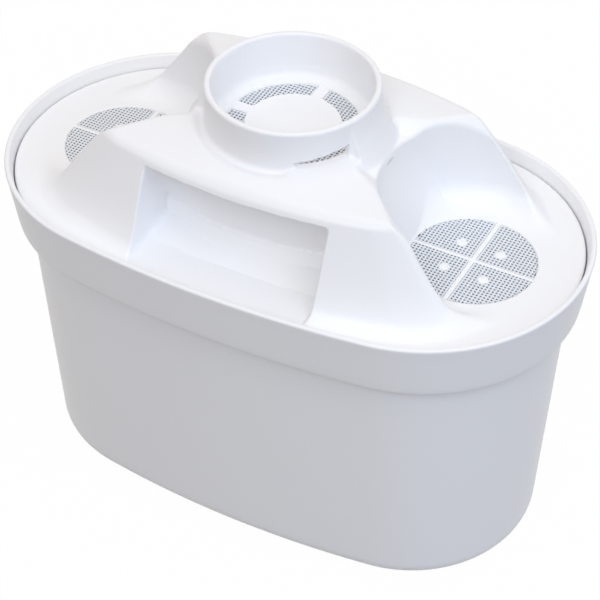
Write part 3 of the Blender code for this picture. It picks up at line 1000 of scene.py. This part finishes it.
    def _chute(self, x: Array, z: Array) -> Array:
        """Distance out from the chute's plane, which runs from the scallop's wall to the window's edge."""
        top_x = self.window_x - self.scallop_radius
        foot_x = self.window_x - self.window_radius - self.chute_margin
        fall = self.rise - self.chute_drop
        lean = (foot_x - top_x) / fall
        return (np.abs(x) - foot_x + lean * (z - self.deck_z)) * math.cos(math.atan(lean))

    def _hollow(self, x: Array, y: Array, z: Array) -> Array:
        """Field of the room inside the hump, a wall's thickness inside its faces."""
        long_side, facet, toe = self._sides(x, y, z, self.wall)
        bay = self._bay(x, y)
        room = np.maximum(np.maximum(long_side, facet), toe)
        room = np.maximum(room, self.scallop_radius + self.wall - bay)
        room = np.maximum(room, z - np.minimum(self.hump_z, self._crown_height(x, y)) + self.wall)
        room = np.maximum(room, -self._pocket(x, y, z, self.wall))
        return np.maximum(room, self.deck_z - self.deck_thickness - self.hollow_reach - z)

    def _ring(self, x: Array, y: Array, z: Array) -> tuple[Array, Array]:
        """Fields of the ring's wall with its flared foot, and of the room inside down to the vented floor.

        The floor has a slight rise in its middle, lies flat over the vents and climbs from there to the
        wall, with a groove along the wall that ends at the slot.
        """
        r = np.hypot(x, y)
        inner = self.ring_radius - self.ring_wall
        tube = slab(r, inner, self.ring_radius)
        wall = smooth_max(tube, z - self.ring_top, self.ring_round)
        wall = np.maximum(wall, self.vent_z - z)
        flare_top = self.ring_top - self.flare_drop
        lean = self.flare_run / (flare_top - self.hump_z)
        cone = (r - self.ring_radius - lean * (flare_top - z)) * math.cos(math.atan(lean))
        angle = math.radians(self.flare_angle)
        beside = np.abs(y) * math.cos(angle) - np.abs(x) * math.sin(angle)
        flare = smooth_max(np.maximum(cone, inner - r), beside, self.flare_round)
        layer = np.maximum(z - flare_top - self.flare_cap, self.hump_z - self.flare_sink - z)
        wall = smooth_min(wall, np.maximum(flare, layer), self.flare_fillet)
        foot = self.vent_radius + self.vent_width + self.dish_margin
        dish = self.vent_z + self.dish_rise * np.clip((r - foot) / (inner - foot), 0.0, 1.0)
        dish = dish + self.disc_rise * (1.0 - step_between(r, 0.0, self.vent_radius))
        across = (r - inner + self.groove_offset) / self.groove_width
        dish = dish - self.groove * np.exp(-across ** 2) * (1.0 - self._at_slot(x, y))
        return wall, smooth_max(r - inner, self.height_share * (dish - z), self.room_round)

    def _vents(self, x: Array, y: Array, z: Array) -> Array:
        """Field of the four vent openings: a ring less two crossed bridges."""
        r = np.hypot(x, y)
        opening = slab(r, self.vent_radius, self.vent_radius + self.vent_width)
        clear = 0.5 * self.vent_bridge - np.minimum(np.abs(x), np.abs(y))
        opening = smooth_max(opening, clear, self.vent_round)
        layer = np.maximum(z - self.vent_z - self.vent_above, self.vent_z - self.vent_below - z)
        return np.maximum(opening, layer)

    def field(self, x: Array, y: Array, z: Array) -> Array:
        """The whole cover.

        The hump joins the deck with a fillet that is wide round the back of a window, narrow elsewhere,
        and shrinks where a chute meets the window. The pockets are cut from it before the deck and the
        skirt join. Next comes the ring, with the slot already cut from its wall. The ring's room, the
        hollow, the windows with their seats and the vents are then taken away.

        Args:
            x: Places along the length.
            y: Places across.
            z: Heights.

        Returns:
            Values, negative inside.
        """
        plan = self.outline.distance(x, y)
        under = self.deck_z - self.deck_thickness
        deck = smooth_max(plan + self.deck_inset, slab(z, under, self.deck_z), self.deck_round)
        skirt = slab(plan, -self.skirt_inset - self.skirt_wall, -self.skirt_inset)
        layer = slab(z, under - self.skirt_depth, under + self.skirt_lap)
        skirt = smooth_max(skirt, layer, self.deck_round)
        bay = self._bay(x, y)
        near, far = self.scallop_blend
        reach = step_between(bay, self.scallop_radius - near, self.scallop_radius + far)
        fillet = self.scallop_fillet + (self.foot_fillet - self.scallop_fillet) * reach
        narrow = 1.0 - step_between(np.abs(y), *self.chute_sides)
        fillet = fillet + (self.chute_fillet - fillet) * narrow
        solid = smooth_min(self._hump(x, y, z), deck, fillet)
        solid = np.maximum(solid, under - z)
        solid = smooth_max(solid, -self._pocket(x, y, z, 0.0), self.pocket_round)
        solid = np.minimum(solid, deck)
        solid = np.minimum(solid, skirt)
        wall, room = self._ring(x, y, z)
        wall = smooth_max(wall, -self._ring_slot(x, y, z), self.slot_round)
        solid = smooth_min(solid, wall, self.ring_fillet)
        solid = smooth_max(solid, -room, self.room_round)
        solid = smooth_max(solid, -self._hollow(x, y, z), self.hollow_round)
        seat = np.maximum(bay - self.window_radius - self.window_seat, z - under - self.seat_height)
        window = np.minimum(bay - self.window_radius, seat)
        solid = smooth_max(solid, -window, self.window_round)
        return smooth_max(solid, -self._vents(x, y, z), self.vent_round)

    def _slot_turn(self, x: Array, y: Array) -> Array:
        """Bearing from the middle of the ring's slot, in radians from -pi to pi."""
        middle = math.radians(0.5 * (self.slot_start + self.slot_end))
        return (np.arctan2(y, x) - middle + math.pi) % (2.0 * math.pi) - math.pi

    def _at_slot(self, x: Array, y: Array) -> Array:
        """One inside the slot's sector and zero past it, by the length of arc past its ends."""
        past = np.abs(self._slot_turn(x, y)) - self.slot_half
        return 1.0 - step_between(past * self.ring_radius, *self.slot_ends)

    def _ring_slot(self, x: Array, y: Array, z: Array) -> Array:
        """Field of the low slot through the ring's wall, whose upper edge climbs with the bearing."""
        half = self.slot_half
        turn = self._slot_turn(x, y)
        high = self.crown_z + self.slot_height + self.slot_climb * np.clip(0.5 + 0.5 * turn / half, 0.0, 1.0)
        past = (np.abs(turn) - half) * self.ring_radius
        return np.maximum(past, slab(z, self.vent_z - self.slot_sink, high))

    def build(self, finish: bpy.types.Material) -> bpy.types.Object:
        """Make the cover.

        Args:
            finish: Its material.

        Returns:
            The piece.
        """
        margin = 2.0 * self.grid
        half_x = self.outline.half_length
        half_y = self.outline.half_width
        low_z = self.deck_z - self.deck_thickness - self.skirt_depth
        lowest = (-half_x, -half_y, low_z - margin)
        highest = (half_x, half_y, self.ring_top + 2.0 * margin)
        grid = FieldGrid(lowest, highest, self.grid)
        points, quads = grid.surface(self.field)
        mesh = thin(mesh_from("cover_shell", points, quads), self.kept_share)
        places = np.empty(3 * len(mesh.vertices))
        mesh.vertices.foreach_get("co", places)
        places, normals = grid.onto_surface(self.field, places.reshape(-1, 3))
        mesh.vertices.foreach_set("co", places.ravel())
        mesh.normals_split_custom_set_from_vertices(normals.tolist())
        return show("cover_shell", mesh, finish, Slot.WHITE, "cover")


@dataclass(frozen=True)
class Perforated:
    """A moulded mesh: a thin plate of square cells, each with a square hole.

    Attributes:
        pitch: Edge of a cell.
        bar: Width of the bars between holes.
        low: Underside of the plate.
        high: Upper side of the plate.
    """

    pitch: float
    bar: float
    low: float
    high: float

    def cells(self, centre: tuple[float, float], half_x: float, half_y: float,
              keep: Callable[[Array, Array], Array]) -> tuple[Array, Array]:
        """Points and quads of every kept cell.

        A cell has a square ring above and below, four walls in its hole, and a wall on each side where
        no neighbour is kept.

        Args:
            centre: Middle of the plate.
            half_x: Half of the area along X that is searched.
            half_y: Half of the area along Y that is searched.
            keep: Says which cells belong to the plate, from their middles.

        Returns:
            Points and quads.
        """
        nx = 2 * int(math.ceil(half_x / self.pitch))
        ny = 2 * int(math.ceil(half_y / self.pitch))
        i, j = np.meshgrid(np.arange(nx), np.arange(ny), indexing="ij")
        mx = (i + 0.5 - 0.5 * nx) * self.pitch
        my = (j + 0.5 - 0.5 * ny) * self.pitch
        kept = keep(mx, my)
        hole = 0.5 * (self.pitch - self.bar)
        signs = np.array([(-1, -1), (1, -1), (1, 1), (-1, 1)])
        lattice_x, lattice_y = np.meshgrid(np.arange(nx + 1), np.arange(ny + 1), indexing="ij")
        lattice = np.stack([(lattice_x - 0.5 * nx) * self.pitch,
                            (lattice_y - 0.5 * ny) * self.pitch], axis=-1).reshape(-1, 2)
        ci, cj = i[kept], j[kept]
        middle = np.stack([mx[kept], my[kept]], axis=1)
        holes = (middle[:, None, :] + signs[None] * hole).reshape(-1, 2)
        plan = np.concatenate([lattice, holes]) + np.array(centre)
        count = len(plan)
        points = np.concatenate([np.column_stack([plan, np.full(count, self.high)]),
                                 np.column_stack([plan, np.full(count, self.low)])])
        offset = (signs + 1) // 2
        outer = (ci[:, None] + offset[:, 0]) * (ny + 1) + cj[:, None] + offset[:, 1]
        inner = len(lattice) + np.arange(len(ci))[:, None] * 4 + np.arange(4)
        quads = []
        for a in range(4):
            b = (a + 1) % 4
            top = np.stack([outer[:, a], outer[:, b], inner[:, b], inner[:, a]], axis=1)
            quads.append(top)
            quads.append(top[:, ::-1] + count)
            quads.append(np.stack([inner[:, a], inner[:, b],
                                   inner[:, b] + count, inner[:, a] + count], axis=1))
            step_x, step_y = ((0, -1), (1, 0), (0, 1), (-1, 0))[a]
            padded = np.pad(kept, 1)
            open_side = ~padded[ci + 1 + step_x, cj + 1 + step_y]
            side = np.stack([outer[:, b], outer[:, a], outer[:, a] + count, outer[:, b] + count], axis=1)
            quads.append(side[open_side])
        return compact(points, np.concatenate(quads))

    def build(self, name: str, node: str, centre: tuple[float, float], half: tuple[float, float],
              keep: Callable[[Array, Array], Array], finish: bpy.types.Material) -> None:
        """Make the plate as a piece that stands for one CAD node.

        Args:
            name: Name of the piece.
            node: The node.
            centre: Middle of the plate.
            half: Half of the searched area along X and along Y.
            keep: Says which cells belong to the plate.
            finish: Its material.
        """
        mesh = mesh_from(name, *self.cells(centre, *half, keep))
        mesh.set_sharp_from_angle(angle=math.radians(SHARP_MESH))
        show(name, mesh, finish, Slot.MESH, node)


def compact(points: Array, faces: Array) -> tuple[Array, Array]:
    """Drop points that no face uses.

    Args:
        points: The points.
        faces: Rows of point numbers.

    Returns:
        The points in use and the renumbered faces.
    """
    used, renumbered = np.unique(faces, return_inverse=True)
    return points[used], renumbered.reshape(faces.shape)


def merge(parts: list[tuple[Array, Array]]) -> tuple[Array, Array]:
    """Put several meshes of quads into one.

    Args:
        parts: Points and quads of each.

    Returns:
        All points and quads.
    """
    start = np.cumsum([0] + [len(points) for points, _ in parts[:-1]])
    return (np.concatenate([points for points, _ in parts]),
            np.concatenate([faces + first for (_, faces), first in zip(parts, start)]))


def dome(x: float, y: float, radius: float, low: float, high: float, around: int = 24,
         sunk: float = 0.0003) -> tuple[Array, Array]:
    """A low round pad: a disc whose height falls off as a quarter ellipse towards its edge.

    Args:
        x: Place along the length.
        y: Place across.
        radius: Radius of the pad.
        low: Height of its edge.
        high: Height of its middle.
        around: Points round it.
        sunk: How far its wall reaches below its edge.

    Returns:
        Points and quads.
    """
    turn = 2.0 * math.pi * np.arange(around) / around
    share = np.linspace(0.0, 1.0, 7)
    radii = np.concatenate([[radius], radius * np.cos(0.5 * math.pi * share)])
    radii[-1] = radius * 0.02
    heights = np.concatenate([[low - sunk], low + (high - low) * np.sin(0.5 * math.pi * share)])
    ring = np.stack([np.cos(turn), np.sin(turn)], axis=1)
    plan = np.array([x, y]) + radii[:, None, None] * ring
    return loft(at_heights(plan, heights))


@dataclass
class Windows:
    """Both round windows: fine mesh, crossed ribs and four moulding pads each.

    Attributes:
        cover: The cover, for its sizes.
    """

    cover: Cover
    pitch: float = 0.00065
    bar: float = 0.00027
    thickness: float = 0.00025
    long_rib: float = 0.00065
    cross_rib: float = 0.00085
    sink: float = 0.00016
    rib_lift: float = 0.00005
    pad_offset: float = 0.0035
    pad_radius: float = 0.00095
    pad_sink: float = 0.0001
    pad_rise: float = 0.0002
    seat_gap: float = 0.0004
    rib_lap: float = 0.0003
    cross_drop: float = 0.00003

    def build(self, mesh_finish: bpy.types.Material, rib_finish: bpy.types.Material) -> None:
        """Make both windows.

        Args:
            mesh_finish: Material of the mesh.
            rib_finish: Material of the ribs and pads.
        """
        for side, sign in (("left", -1.0), ("right", 1.0)):
            node = f"intake_mesh_{side}"
            low, high = box_of(node)
            radius = 0.5 * (high[0] - low[0])
            centre = (0.5 * (low[0] + high[0]), 0.5 * (low[1] + high[1]))
            seat_z = self.cover.deck_z - self.sink
            plate = Perforated(self.pitch, self.bar, seat_z - self.thickness, seat_z)

            def keep(x: Array, y: Array, limit: float = radius) -> Array:
                """Cells inside the seat."""
                return np.hypot(x, y) < limit - self.seat_gap

            plate.build(f"window_mesh_{side}", node, centre, (radius, radius), keep, mesh_finish)
            self._ribs(f"window_ribs_{side}", sign * self.cover.window_x, seat_z, rib_finish)

    def _ribs(self, name: str, x: float, mesh_z: float, finish: bpy.types.Material) -> None:
        """Make a window's crossed ribs and pads.

        Args:
            name: Name of the piece.
            x: The window's middle.
            mesh_z: Top of the mesh.
            finish: Material.
        """
        top = self.cover.deck_z + self.rib_lift
        reach = self.cover.window_radius + self.rib_lap
        parts = [self._bar(x, reach, self.long_rib, top, mesh_z, False),
                 self._bar(x, reach, self.cross_rib, top - self.cross_drop, mesh_z, True)]
        for px in (-self.pad_offset, self.pad_offset):
            for py in (-self.pad_offset, self.pad_offset):
                parts.append(dome(x + px, py, self.pad_radius, mesh_z - self.pad_sink,
                                  mesh_z + self.pad_rise))
        points, quads = merge(parts)
        show(name, mesh_from(name, points, quads), finish, Slot.WHITE)

    @staticmethod
    def _bar(x: float, reach: float, width: float, top: float, low: float,
             across: bool) -> tuple[Array, Array]:
        """A rib with rounded upper edges: its section carried along a straight line.

        Args:
            x: Its middle along the length.
            reach: Half of its length.
            width: Its width.
            top: Height of its top.
            low: Height of its underside.
            across: Whether it runs across the part.

        Returns:
            Points and quads.
        """
        r = 0.3 * width
        half = 0.5 * width
        section = [(half, low)] + arc((half - r, top - r), r, 0.0, 90.0, 5)
        section += arc((r - half, top - r), r, 90.0, 180.0, 5) + [(-half, low)]
        places = np.linspace(-reach, reach, 9)
        rows = np.array([[(s, w, z) for w, z in section] for s in places])
        if across:
            rows = np.stack([-rows[..., 1], rows[..., 0], rows[..., 2]], axis=-1)
        return loft(rows + np.array([x, 0.0, 0.0]))


@dataclass
class InnerMeshes:
    """The vent mesh under the ring's floor and the strainer over the outlet slots."""

    cover: Cover
    vent_pitch: float = 0.00065
    vent_bar: float = 0.00022
    vent_sink: float = 0.00035
    thickness: float = 0.00025
    lap: float = 0.00035
    strainer_pitch: float = 0.0009
    strainer_bar: float = 0.0004

    def build(self, finish: bpy.types.Material) -> None:
        """Make both meshes.

        Args:
            finish: Their material.
        """
        inner = self.cover.vent_radius - self.lap
        outer = self.cover.vent_radius + self.cover.vent_width + self.lap
        high = self.cover.vent_z - self.vent_sink

        def under_vents(x: Array, y: Array) -> Array:
            """Cells under the ring of vents."""
            r = np.hypot(x, y)
            return (r > inner) & (r < outer)

        plate = Perforated(self.vent_pitch, self.vent_bar, high - self.thickness, high)
        plate.build("vent_screen", "vent_mesh", (0.0, 0.0), (outer, outer), under_vents, finish)
        low, high = box_of("outlet_mesh")
        half_x = high[0] - self.strainer_pitch
        half_y = high[1] - self.strainer_pitch

        def in_sheet(x: Array, y: Array) -> Array:
            """Cells inside the sheet."""
            return (np.abs(x) < half_x) & (np.abs(y) < half_y)

        plate = Perforated(self.strainer_pitch, self.strainer_bar, low[2], high[2])
        plate.build("outlet_screen", "outlet_mesh", (0.0, 0.0), (half_x, half_y), in_sheet, finish)


@dataclass
class Media:
    """The bed of granules: the CAD solid's sides, and a top that heaves in low waves.

    Attributes:
        outline: The rim's outline.
    """

    outline: Oval
    inset_low: float = 0.0075
    inset_high: float = 0.0056
    base_steps: tuple[float, float, float] = (0.012, 0.0025, 0.0005)
    gap_low: float = 0.0002
    gap_high: float = 0.0004
    foot_rise: float = 0.002
    side_step: float = 0.0005
    shoulder: float = 0.001
    wave_height: float = 0.0002
    around: int = 200

    def build(self, finish: bpy.types.Material) -> None:
        """Make the bed.

        Args:
            finish: Its material.
        """
        low, high = box_of("filter_media")
        bottom, top = low[2] + self.gap_low, high[2] - self.gap_high
        path, normal = self.outline.path(self.around)
        insets = [self.inset_low + step for step in self.base_steps]
        heights = [bottom, bottom, bottom + self.foot_rise]
        for share in np.linspace(0.1, 1.0, 10):
            insets.append(self.inset_low + (self.inset_high - self.inset_low) * share + self.side_step)
            heights.append(bottom + (top - self.shoulder - bottom) * share)
        side_rows = len(insets)
        for inset in np.linspace(0.0015, 0.024, 30):
            insets.append(self.inset_high + inset)
            heights.append(top)
        plan = path[None] - normal[None] * np.array(insets)[:, None, None]
        z = np.broadcast_to(np.array(heights)[:, None], plan.shape[:2]).copy()
        along = np.sin(plan[..., 0] * 900.0 + 2.0 * np.sin(plan[..., 1] * 700.0))
        wave = along * np.sin(plan[..., 1] * 1100.0)
        z[side_rows:] += self.wave_height * wave[side_rows:] - self.wave_height
        rows = np.concatenate([plan, z[..., None]], axis=2)
        points, quads = loft(rows)
        mesh = capped("granule_bed", points, quads, self.around)
        show("granule_bed", mesh, finish, Slot.GRANULES, "filter_media")


@dataclass(frozen=True)
class CameraView:
    """The photograph's viewpoint, as angles round the part and a distance.

    Attributes:
        azimuth: Degrees from the front towards +X.
        elevation: Degrees above the horizon.
        distance: From the target to the lens.
        lens: Focal length in millimetres on a 36 mm wide frame.
        centre_height: Height of the target.
        slide: How far the target lies to the picture's right of the part's axis.
        shift: Offset of the frame, as shares of its width.
    """

    azimuth: float = 28.22
    elevation: float = 41.86
    distance: float = 0.3581
    lens: float = 120.51
    centre_height: float = 0.035
    slide: float = 0.00172
    shift: tuple[float, float] = (-0.0058, 0.0041)

    def build(self) -> None:
        """Make the camera and set it as the scene's."""
        a, e = math.radians(self.azimuth), math.radians(self.elevation)
        back = Vector((math.sin(a) * math.cos(e), -math.cos(a) * math.cos(e), math.sin(e)))
        right = Vector((math.cos(a), math.sin(a), 0.0))
        up = back.cross(right)
        place = Vector((0.0, 0.0, self.centre_height)) + self.slide * right + self.distance * back
        data = bpy.data.cameras.new("camera")
        data.lens = self.lens
        data.sensor_width = 36.0
        data.shift_x, data.shift_y = self.shift
        data.clip_start = 0.01
        camera = bpy.data.objects.new("camera", data)
        turn = Matrix((right, up, back)).transposed().to_4x4()
        camera.matrix_world = Matrix.Translation(place) @ turn
        bpy.context.scene.collection.objects.link(camera)
        bpy.context.scene.camera = camera


@dataclass(frozen=True)
class Lamp:
    """A soft square lamp that faces the part.

    Attributes:
        name: Name of the lamp.
        place: Where it hangs.
        size: Edge of its square face.
        power: Watts, fitted to the photograph.
        tint: Colour of its light, fitted to the photograph.
        aim_height: Height of the point that it faces.
    """

    name: str
    place: tuple[float, float, float]
    size: float
    power: float
    tint: tuple[float, float, float] = (1.0, 1.0, 1.0)
    aim_height: float = 0.04

    def build(self) -> None:
        """Hang the lamp."""
        data = bpy.data.lights.new(self.name, "AREA")
        data.shape = "SQUARE"
        data.size = self.size
        data.energy = self.power
        data.color = self.tint
        lamp = bpy.data.objects.new(self.name, data)
        lamp.location = self.place
        aim = Vector((0.0, 0.0, self.aim_height)) - Vector(self.place)
        lamp.rotation_euler = aim.to_track_quat("-Z", "Y").to_euler()
        bpy.context.scene.collection.objects.link(lamp)


@dataclass
class Studio:
    """A pale floor, a warm surround and soft lamps, most of them tinted.

    Attributes:
        floor_half: Half of the floor's edge.
        floor_glow: Share of plain white light in the floor as it is seen. At 0.98 hardly any of the
            part's shadow shows.
        floor_pale: How pale the rest of the seen floor is.
        floor_bounce: How pale the floor is for the light that it throws back.
        surround: Colour of the ambient light.
        ambient: Its strength.
        lamps: The lamps.
    """

    floor_half: float = 3.0
    floor_glow: float = 0.98
    floor_pale: float = 0.95
    floor_bounce: float = 0.28
    surround: tuple[float, float, float] = (1.0, 0.91, 0.85)
    ambient: float = 0.53
    lamps: tuple[Lamp, ...] = field(default_factory=lambda: (
        Lamp("overhead", (0.0, 0.0, 1.2), 1.0, 2.6),
        Lamp("right_side", (0.9, -0.3, 0.5), 0.6, 1.8, (0.35, 0.60, 1.0)),
        Lamp("right_high", (0.62, -0.32, 0.95), 0.45, 1.8, (0.9, 0.97, 1.0)),
        Lamp("front", (0.1, -0.82, 0.83), 0.45, 2.9, (0.78, 0.86, 0.98)),
        Lamp("back", (0.2, 0.9, 0.8), 0.6, 0.6, (0.70, 0.85, 1.0)),
    ))

    def build(self) -> None:
        """Set the view, the surround, the floor and the lamps."""
        bpy.context.scene.view_settings.view_transform = "Standard"
        self._surround()
        self._floor()
        for lamp in self.lamps:
            lamp.build()

    def _surround(self) -> None:
        """White for camera, glossy and transmission rays, and a warm ambient light for the rest."""
        world = bpy.data.worlds.new("surround")
        bpy.context.scene.world = world
        world.use_nodes = True
        tree = world.node_tree
        tree.nodes.clear()
        seen = tree.nodes.new("ShaderNodeBackground")
        lit = tree.nodes.new("ShaderNodeBackground")
        lit.inputs["Color"].default_value = (*self.surround, 1.0)
        lit.inputs["Strength"].default_value = self.ambient
        mix = tree.nodes.new("ShaderNodeMixShader")
        out = tree.nodes.new("ShaderNodeOutputWorld")
        tree.links.new(seen_rays(tree), mix.inputs["Fac"])
        tree.links.new(lit.outputs["Background"], mix.inputs[1])
        tree.links.new(seen.outputs["Background"], mix.inputs[2])
        seen.inputs["Color"].default_value = (1.0, 1.0, 1.0, 1.0)
        tree.links.new(mix.outputs["Shader"], out.inputs["Surface"])

    def _floor(self) -> None:
        """A floor that shows near white, with hardly any of the part's shadow, and throws back less."""
        half = self.floor_half
        points = np.array([(-half, -half, 0.0), (half, -half, 0.0), (half, half, 0.0), (-half, half, 0.0)])
        mesh = mesh_from("floor", points, np.array([[0, 1, 2, 3]]))
        floor = bpy.data.objects.new("floor", mesh)
        material = bpy.data.materials.new("floor")
        material.use_nodes = True
        tree = material.node_tree
        tree.nodes.clear()
        dull = self._matte(tree, self.floor_bounce)
        pale = self._matte(tree, self.floor_pale)
        glow = tree.nodes.new("ShaderNodeEmission")
        glow.inputs["Color"].default_value = (1.0, 1.0, 1.0, 1.0)
        shown = tree.nodes.new("ShaderNodeMixShader")
        shown.inputs["Fac"].default_value = self.floor_glow
        mix = tree.nodes.new("ShaderNodeMixShader")
        out = tree.nodes.new("ShaderNodeOutputMaterial")
        tree.links.new(pale.outputs["BSDF"], shown.inputs[1])
        tree.links.new(glow.outputs["Emission"], shown.inputs[2])
        tree.links.new(seen_rays(tree), mix.inputs["Fac"])
        tree.links.new(dull.outputs["BSDF"], mix.inputs[1])
        tree.links.new(shown.outputs["Shader"], mix.inputs[2])
        tree.links.new(mix.outputs["Shader"], out.inputs["Surface"])
        mesh.materials.append(material)
        bpy.context.scene.collection.objects.link(floor)

    @staticmethod
    def _matte(tree: bpy.types.NodeTree, level: float) -> bpy.types.Node:
        """Add a plain matte shader of one grey.

        Args:
            tree: The nodes to add to.
            level: How pale it is, from 0 to 1.

        Returns:
            The shader's node.
        """
        matte = tree.nodes.new("ShaderNodeBsdfDiffuse")
        matte.inputs["Color"].default_value = (level, level, level, 1.0)
        return matte


def seen_rays(tree: bpy.types.NodeTree) -> bpy.types.NodeSocket:
    """One for camera, glossy and transmission rays, else zero: the largest of the three.

    Args:
        tree: The nodes to add to.

    Returns:
        The socket that holds it.
    """
    path = tree.nodes.new("ShaderNodeLightPath")
    last = path.outputs["Is Camera Ray"]
    for name in ("Is Glossy Ray", "Is Transmission Ray"):
        larger = tree.nodes.new("ShaderNodeMath")
        larger.operation = "MAXIMUM"
        tree.links.new(last, larger.inputs[0])
        tree.links.new(path.outputs[name], larger.inputs[1])
        last = larger.outputs["Value"]
    return last


def main() -> None:
    """Build the studio and every piece."""
    logging.basicConfig(level=logging.INFO, format="%(name)s: %(message)s")
    CameraView().build()
    Studio().build()
    white = PlasticFinish("white_polypropylene", (0.93, 0.935, 0.95)).build()
    screen = PlasticFinish("screen_plastic", (0.80, 0.83, 0.87), roughness=0.4).build()
    granules = GranuleFinish("filter_granules").build()
    low, high = box_of("cup")
    rim = Oval(float(high[0]), float(high[1]))
    cover_top = box_of("cover")[1][2]
    cup = Cup(rim, float(high[2]))
    cup.build(white)
    cover = Cover(rim, float(high[2]) - DECK_DROP, float(cover_top))
    cover.build(white)
    Windows(cover).build(screen, white)
    InnerMeshes(cover).build(screen)
    Media(rim).build(granules)


if __name__ == "__main__":
    main()
